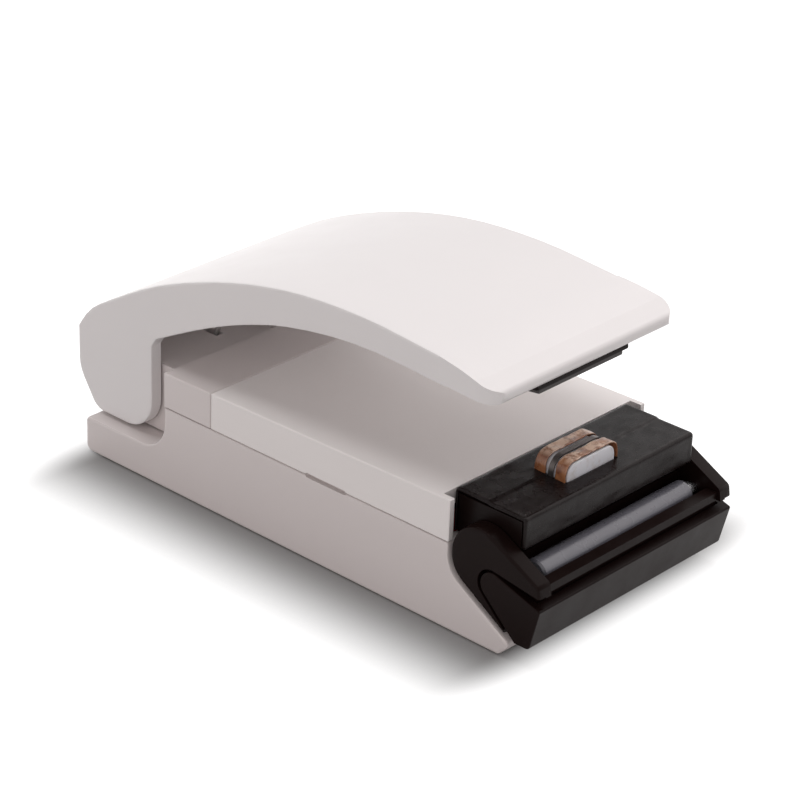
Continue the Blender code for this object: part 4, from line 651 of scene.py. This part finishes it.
def wrapped_sheet(name: str, path: Sequence[Point], across: Sequence[float],
                  place: Callable[[Point, Vector, float, float], Vector],
                  keep: Callable[[Vector], bool], thickness: float,
                  material: bpy.types.Material) -> bpy.types.Object:
    """Wrap a thin sheet along a path and give it thickness inwards.

    Args:
        name: the piece's name.
        path: the section that the sheet follows.
        across: the places along its width.
        place: makes a point of a section point, its outward direction, its share and a width.
        keep: says whether a face with that centre stays.
        thickness: the sheet's thickness.
        material: its finish.

    Returns:
        The sheet.
    """
    mesh = bpy.data.meshes.new(name)
    build = bmesh.new()
    rows = []
    last = len(path) - 1
    for index, point in enumerate(path):
        ahead = Vector(path[min(index + 1, last)]) - Vector(path[max(index - 1, 0)])
        outward = Vector((-ahead.y, ahead.x)).normalized()
        rows.append([build.verts.new(place(point, outward, index / last, width))
                     for width in across])
    for row, following in zip(rows, rows[1:]):
        for index in range(len(across) - 1):
            corners = (row[index], row[index + 1], following[index + 1], following[index])
            centre = sum((corner.co for corner in corners), Vector()) / len(corners)
            if keep(centre):
                build.faces.new(corners)
    loose = [vert for vert in build.verts if not vert.link_faces]
    bmesh.ops.delete(build, geom=loose, context="VERTS")
    bmesh.ops.recalc_face_normals(build, faces=build.faces)
    build.to_mesh(mesh)
    build.free()
    mesh.materials.append(material)
    mesh.shade_smooth()
    sheet = bpy.data.objects.new(name, mesh)
    bpy.context.scene.collection.objects.link(sheet)
    solid = sheet.modifiers.new("sheet_thickness", "SOLIDIFY")
    solid.thickness = thickness
    solid.offset = INWARDS
    return sheet


def evenly(low: float, high: float, spacing: float) -> List[float]:
    """Divide a length evenly.

    Args:
        low: where it starts.
        high: where it ends.
        spacing: about how far apart the places are.

    Returns:
        The places, both ends included.
    """
    count = max(2, round((high - low) / spacing))
    return [low + (high - low) * index / count for index in range(count + 1)]


def ripple(point: Point, width: float, along: float, across: float) -> float:
    """Smooth noise over a sheet.

    Args:
        point: the section point.
        width: the place across.
        along: the waves in a metre along the section.
        across: the waves in a metre across it.

    Returns:
        The noise, about -1 to 1.
    """
    return noise.noise(Vector((point[0] * along, width * across, point[1] * along)))


def settle(piece: bpy.types.Object, body: str, node: str) -> None:
    """Ride a piece on its body, in place of a node.

    Args:
        piece: the new piece.
        body: the body it moves with.
        node: the node that it stands for.
    """
    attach(piece, body)
    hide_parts(node)
    LOG.info("built %s for %s", piece.name, node)


@dataclass
class SubAssembly:
    """A group of pieces that belong together."""

    finishes: Finishes
    tools: SurfaceTools

    def dress(self, choices: Dict[str, bpy.types.Material]) -> None:
        """Dress carried-over nodes.

        Args:
            choices: each node's name and its finish.
        """
        for node, material in choices.items():
            self.tools.dress(node, material)


@dataclass
class Housing(SubAssembly):
    """The white tub, its hinge block and the lift-off battery cover."""

    def build(self) -> None:
        """Dress the three white mouldings."""
        look = self.finishes
        self.dress({"lower_shell": look.shell_white, "rear_housing": look.shell_white,
                    "battery_cover": look.deck_white_painted_light})


@dataclass
class SealingLever(SubAssembly):
    """The arched lever with the bar and rubber pad under its lip."""

    def build(self) -> None:
        """Dress the lever, its holder, pad, pin and spring."""
        look = self.finishes
        self.dress({"lever": look.lever_white, "pad_holder": look.block_black,
                    "seal_pad": look.pad_rubber, "hinge_pin": look.steel,
                    "return_spring": look.spring_steel})


@dataclass
class SealingHead(SubAssembly):
    """The head block, its wrapped film and the taped element.

    Sizes are in metres, and pitches in waves a metre.
    """

    film_spacing: float = 0.00026
    film_front_height: float = 0.0048
    film_rear_height: float = 0.0067
    film_corner: float = 0.0007
    film_thickness: float = 0.00056
    film_end_turn: float = 0.00045
    film_end_reach: float = 0.0191
    film_end_steps: int = 4
    window_margin: float = 0.00025
    lap_share: float = 0.49
    lap_step: float = 0.00018
    lap_ramp: float = 0.00018
    lap_ragged: float = 0.00022
    lap_pitch: float = 420.0
    lap_seed: float = 3.0
    slack: float = 0.00011
    slack_edge: float = 0.0012
    slack_sag: float = 0.4
    wave_share: float = 0.8
    wave_pitches: Span = (300.0, 130.0)
    fine_share: float = 0.3
    fine_pitches: Span = (900.0, 420.0)
    tape_thickness: float = 0.00022
    tape_corner: float = 0.00235
    tape_spacing: float = 0.00016
    tape_wander: float = 0.00016
    tape_wander_waves: float = 9.0
    tape_dent: float = 0.00009
    tape_dent_bias: float = 0.5
    tape_crease_pitches: Span = (900.0, 520.0)
    rear_seed: float = 5.0
    front_seed: float = 9.0

    def build(self) -> None:
        """Build and dress the head."""
        look = self.finishes
        self.dress({"head_block": look.block_black, "element_core": look.ceramic,
                    "heater_ribbon": look.ribbon})
        self.build_film()
        self.build_tape("rear", self.rear_seed)
        self.build_tape("front", self.front_seed)

    def film_widths(self) -> List[float]:
        """Places across the film, closer together where its ends turn in.

        Returns:
            The places.
        """
        reach, turn = self.film_end_reach, self.film_end_turn
        quarter = math.pi / 2
        insets = [turn * (1.0 - math.cos(quarter * step / self.film_end_steps))
                  for step in range(self.film_end_steps)]
        flat = evenly(-reach + turn, reach - turn, self.film_spacing)
        return ([-reach + inset for inset in insets] + flat
                + [reach - inset for inset in reversed(insets)])

    def build_film(self) -> None:
        """Build the film with its ragged lap and slack wrinkles."""
        low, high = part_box("head_film")
        core_low, core_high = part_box("element_core")
        top = high.z - self.lap_step
        lap_x = low.x + (high.x - low.x) * self.lap_share
        path = rounded_path([
            (low.x, top - self.film_rear_height, 0), (low.x, top, self.film_corner),
            (high.x, top, self.film_corner), (high.x, top - self.film_front_height, 0)],
            self.film_spacing)
        margin = self.window_margin

        def place(point: Point, outward: Vector, _share: float, width: float) -> Vector:
            """Lay one point of the film, slack and lapped.

            Args:
                point: the section point.
                outward: the section's outward direction there.
                _share: how far along the section it is, which the film doesn't need.
                width: the place across the film.

            Returns:
                The point in space.
            """
            fray = noise.noise(Vector((0.0, width * self.lap_pitch, self.lap_seed)))
            ragged = lap_x + self.lap_ragged * fray
            over = max(0.0, min(1.0, (ragged - point[0]) / self.lap_ramp))
            wave = ripple(point, width, *self.wave_pitches)
            fine = ripple(point, width, *self.fine_pitches)
            pull = self.slack * (self.wave_share * wave + self.fine_share * fine - self.slack_sag)
            edge = self.film_end_reach - abs(width)
            bend = max(0.0, 1.0 - edge / self.film_end_turn)
            turned_in = self.film_end_turn * (1.0 - math.sqrt(max(0.0, 1.0 - bend * bend)))
            lift = pull * min(1.0, edge / self.slack_edge) + self.lap_step * over - turned_in
            move = outward * lift
            return Vector((point[0] + move.x, width, point[1] + move.y))

        def keep(centre: Vector) -> bool:
            """Leave the element's window open.

            Args:
                centre: the middle of a face.

            Returns:
                Whether the face stays.
            """
            inside_x = core_low.x - margin < centre.x < core_high.x + margin
            inside_y = core_low.y - margin < centre.y < core_high.y + margin
            return not (inside_x and inside_y and centre.z > top - margin)

        film = wrapped_sheet("wrapped_film", path, self.film_widths(), place, keep,
                             self.film_thickness, self.finishes.film)
        settle(film, "housing", "head_film")

    def build_tape(self, side: str, seed: float) -> None:
        """Build one tape band, with wavy edges and creases.

        Args:
            side: rear or front.
            seed: the place in the noise that it reads.
        """
        node = f"tape_band_{side}"
        low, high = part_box(node)
        path = rounded_path([
            (low.y, low.z, 0), (low.y, high.z, self.tape_corner),
            (high.y, high.z, self.tape_corner), (high.y, low.z, 0)], self.tape_spacing)
        middle = (low.x + high.x) / 2
        width_pitch, arch_pitch = self.tape_crease_pitches

        def place(point: Point, outward: Vector, share: float, width: float) -> Vector:
            """Lay one point of the tape.

            Args:
                point: the section point.
                outward: the section's outward direction there.
                share: how far along the section it is.
                width: the place across the tape.

            Returns:
                The point in space.
            """
            wander = noise.noise(Vector((share * self.tape_wander_waves, seed, 0.0)))
            crease = noise.noise(Vector((width * width_pitch, point[0] * arch_pitch, seed)))
            dent = self.tape_dent * (crease - self.tape_dent_bias)
            toward = (width - middle) / (high.x - low.x) * 2
            return Vector((width + self.tape_wander * wander * toward,
                           point[0] + outward.x * dent, point[1] + outward.y * dent))

        band = wrapped_sheet(f"amber_tape_{side}", path, evenly(low.x, high.x, self.tape_spacing),
                             place, lambda centre: True, self.tape_thickness,
                             self.finishes.amber_tape)
        settle(band, "housing", node)


@dataclass
class RollerCradle(SubAssembly):
    """The black front piece, its bar, the roller and its axle."""

    def build(self) -> None:
        """Dress the cradle and what lies in it."""
        look = self.finishes
        self.dress({"front_cradle": look.trim_black, "cradle_cover": look.trim_black,
                    "guide_roller": look.roller_grey, "roller_axle": look.steel})


@dataclass
class PowerTrain(SubAssembly):
    """Cells, contacts, switch and wires."""

    def build(self) -> None:
        """Dress the electrical pieces."""
        look = self.finishes
        plates = ("cell_spring_rear", "cell_spring_front", "contact_bridge", "contact_positive",
                  "contact_negative")
        self.dress({name: look.steel for name in plates})
        self.dress({"cell_left": look.cell, "cell_right": look.cell,
                    "switch_body": look.switch_black, "switch_plunger": look.shell_white,
                    "wire_switch": look.wire_red, "wire_head_feed": look.wire_red,
                    "wire_head_return": look.wire_black})


@dataclass
class Fasteners(SubAssembly):
    """The housing screws."""

    def build(self) -> None:
        """Dress the screws."""
        self.dress({f"screw_{end}_{side}": self.finishes.steel
                    for end in ("rear", "front") for side in ("left", "right")})


@dataclass
class Studio:
    """Pale floor, soft light and the photograph's camera."""

    sensor_mm: float = 36.0
    lens_mm: float = 129.104
    clip: Span = (0.01, 20.0)
    camera_place: Triple = (0.2599861, -0.2900892, 0.2131580)
    azimuth: float = 41.6613
    elevation: float = 26.6722
    roll: float = 2.1477
    key_from: Triple = (-0.30, 0.08, 0.94)
    key_strength: float = 1.24
    key_spread: float = 40.0
    key_tint: Colour = (1.0, 1.0, 1.0)
    fill_from: Triple = (0.30, -0.82, 0.24)
    fill_strength: float = 0.83
    far_from: Triple = (0.10, 0.90, 0.42)
    far_strength: float = 1.52
    soft_spread: float = 70.0
    soft_tint: Colour = (1.0, 0.935, 0.925)
    room_light: float = 0.33
    floor_radius: float = 6.0
    floor_sides: int = 64
    floor_drop: float = 0.0001
    floor_roughness: float = 0.9
    # The dark floor colour that the camera sees, and the glow that fades in away from the sealer,
    # paint a shadow around it.
    floor_albedo_painted_shade: float = 0.30
    floor_bounce: float = 0.50
    floor_glow: float = 1.0
    shade_halo_reach: float = 0.0215
    front_undercut: float = 0.008
    front_haste: float = 2.3

    def build(self) -> None:
        """Set the stage."""
        self.build_floor()
        self.build_world()
        soft = (self.soft_spread, self.soft_tint)
        self.build_sun("key_light", self.key_from, self.key_strength, self.key_spread,
                       self.key_tint)
        self.build_sun("fill_light", self.fill_from, self.fill_strength, *soft)
        self.build_sun("far_light", self.far_from, self.far_strength, *soft)
        self.build_camera()
        bpy.context.scene.view_settings.view_transform = "Standard"

    def _background_ray(self, tree: bpy.types.NodeTree) -> Socket:
        """Find the rays that show the background.

        Args:
            tree: the node tree to work in.

        Returns:
            A field that is 1 for those rays.
        """
        rays = tree.nodes.new("ShaderNodeLightPath")
        total = rays.outputs["Is Camera Ray"]
        for name in ("Is Glossy Ray", "Is Transmission Ray"):
            total = join(tree, "MAXIMUM", total, rays.outputs[name])
        return total

    def build_floor(self) -> None:
        """Make the pale floor, which keeps the shadow; to the camera it is darker close around the
        footprint, a painted shadow.
        """
        mesh = bpy.data.meshes.new("pale_floor")
        build = bmesh.new()
        bmesh.ops.create_circle(build, cap_ends=True, segments=self.floor_sides,
                                radius=self.floor_radius)
        build.to_mesh(mesh)
        build.free()
        floor = bpy.data.objects.new("pale_floor", mesh)
        floor.location.z = -self.floor_drop
        bpy.context.scene.collection.objects.link(floor)
        material = bpy.data.materials.new("pale_floor")
        material.use_nodes = True
        tree = material.node_tree
        shader = tree.nodes["Principled BSDF"]
        # The camera sees a darker floor than the bounced light does; near the footprint, where the
        # glow is low, that darkness is painted shade.
        seen = tree.nodes.new("ShaderNodeMapRange")
        seen.inputs["To Min"].default_value = self.floor_bounce
        seen.inputs["To Max"].default_value = self.floor_albedo_painted_shade
        rays = tree.nodes.new("ShaderNodeLightPath")
        tree.links.new(rays.outputs["Is Camera Ray"], seen.inputs["Value"])
        tree.links.new(seen.outputs["Result"], shader.inputs["Base Color"])
        shader.inputs["Roughness"].default_value = self.floor_roughness
        shader.inputs["Specular IOR Level"].default_value = 0.0
        shader.inputs["Emission Color"].default_value = WHITE
        glow = join(tree, "MULTIPLY", self._background_ray(tree), self._halo_glow(tree))
        tree.links.new(glow, shader.inputs["Emission Strength"])
        mesh.materials.append(material)

    def _halo_glow(self, tree: bpy.types.NodeTree) -> Socket:
        """Let the floor's glow grow with the distance from the sealer's footprint, so a painted
        shadow stays close around it, tighter at the front.

        Args:
            tree: the floor's node tree.

        Returns:
            The glow.
        """
        low, high = CAD_BOX
        here = tree.nodes.new("ShaderNodeNewGeometry").outputs["Position"]
        middle, half = (low + high) / 2, (high - low) / 2
        # A metre off the height takes it out of the distance, which runs over the floor.
        steps = (("SUBTRACT", (middle.x, middle.y, 0.0)), ("ABSOLUTE", None),
                 ("SUBTRACT", (half.x - self.front_undercut, half.y, 1.0)),
                 ("MAXIMUM", (0.0, 0.0, 0.0)),
                 ("MULTIPLY", (self.front_haste, 1.0, 1.0)), ("LENGTH", None))
        for operation, value in steps:
            node = tree.nodes.new("ShaderNodeVectorMath")
            node.operation = operation
            tree.links.new(here, node.inputs[0])
            if value is not None:
                node.inputs[1].default_value = value
            here = node.outputs["Value" if operation == "LENGTH" else "Vector"]
        fade = tree.nodes.new("ShaderNodeMapRange")
        fade.interpolation_type = "SMOOTHSTEP"
        fade.inputs["From Max"].default_value = self.shade_halo_reach
        fade.inputs["To Max"].default_value = self.floor_glow
        tree.links.new(here, fade.inputs["Value"])
        return fade.outputs["Result"]

    def build_world(self) -> None:
        """Light the room softly, with a white background."""
        world = bpy.data.worlds.new("studio_room")
        bpy.context.scene.world = world
        world.use_nodes = True
        tree = world.node_tree
        tree.nodes.clear()
        output = tree.nodes.new("ShaderNodeOutputWorld")
        shown, lit = (tree.nodes.new("ShaderNodeBackground") for _ in range(2))
        shown.inputs["Color"].default_value = WHITE
        lit.inputs["Color"].default_value = (*self.soft_tint, 1.0)
        lit.inputs["Strength"].default_value = self.room_light
        mix = tree.nodes.new("ShaderNodeMixShader")
        tree.links.new(self._background_ray(tree), mix.inputs[0])
        tree.links.new(lit.outputs[0], mix.inputs[1])
        tree.links.new(shown.outputs[0], mix.inputs[2])
        tree.links.new(mix.outputs[0], output.inputs["Surface"])

    def build_sun(self, name: str, toward: Triple, strength: float, spread: float,
                  tint: Colour) -> None:
        """Add one broad, even light.

        Args:
            name: the light's name.
            toward: the direction from the object to the light.
            strength: its strength.
            spread: its width in degrees.
            tint: its colour.
        """
        data = bpy.data.lights.new(name, "SUN")
        data.energy = strength
        data.color = tint
        data.angle = math.radians(spread)
        lamp = bpy.data.objects.new(name, data)
        lamp.rotation_euler = Vector(toward).to_track_quat("Z", "Y").to_euler()
        bpy.context.scene.collection.objects.link(lamp)

    def build_camera(self) -> None:
        """Place the camera at the photograph's viewing angle."""
        data = bpy.data.cameras.new("camera")
        data.sensor_width = self.sensor_mm
        data.lens = self.lens_mm
        data.clip_start, data.clip_end = self.clip
        camera = bpy.data.objects.new("camera", data)
        turn, rise, roll = (math.radians(v) for v in (self.azimuth, self.elevation, self.roll))
        back = Vector((math.sin(turn) * math.cos(rise), -math.cos(turn) * math.cos(rise),
                       math.sin(rise)))
        right = Vector((math.cos(turn), math.sin(turn), 0.0))
        up = back.cross(right)
        tilted = right * math.cos(roll) + up * math.sin(roll)
        raised = up * math.cos(roll) - right * math.sin(roll)
        turned = Matrix((tilted, raised, back)).transposed().to_4x4()
        camera.matrix_world = Matrix.Translation(self.camera_place) @ turned
        bpy.context.scene.collection.objects.link(camera)
        bpy.context.scene.camera = camera


def clear_startup() -> None:
    """Remove what the empty file holds besides the frame."""
    kept = set(frame["nodes"].values()) | set(frame["bodies"].values())
    for thing in [o for o in bpy.data.objects if o not in kept]:
        bpy.data.objects.remove(thing)


def main() -> None:
    """Build the sealer's looks, piece by piece."""
    logging.basicConfig(level=logging.INFO, format="%(message)s")
    clear_startup()
    finishes = Finishes()
    tools = SurfaceTools()
    for group in (Housing, SealingLever, SealingHead, RollerCradle, PowerTrain, Fasteners):
        group(finishes, tools).build()
    Studio().build()


if __name__ == "__main__":
    main()
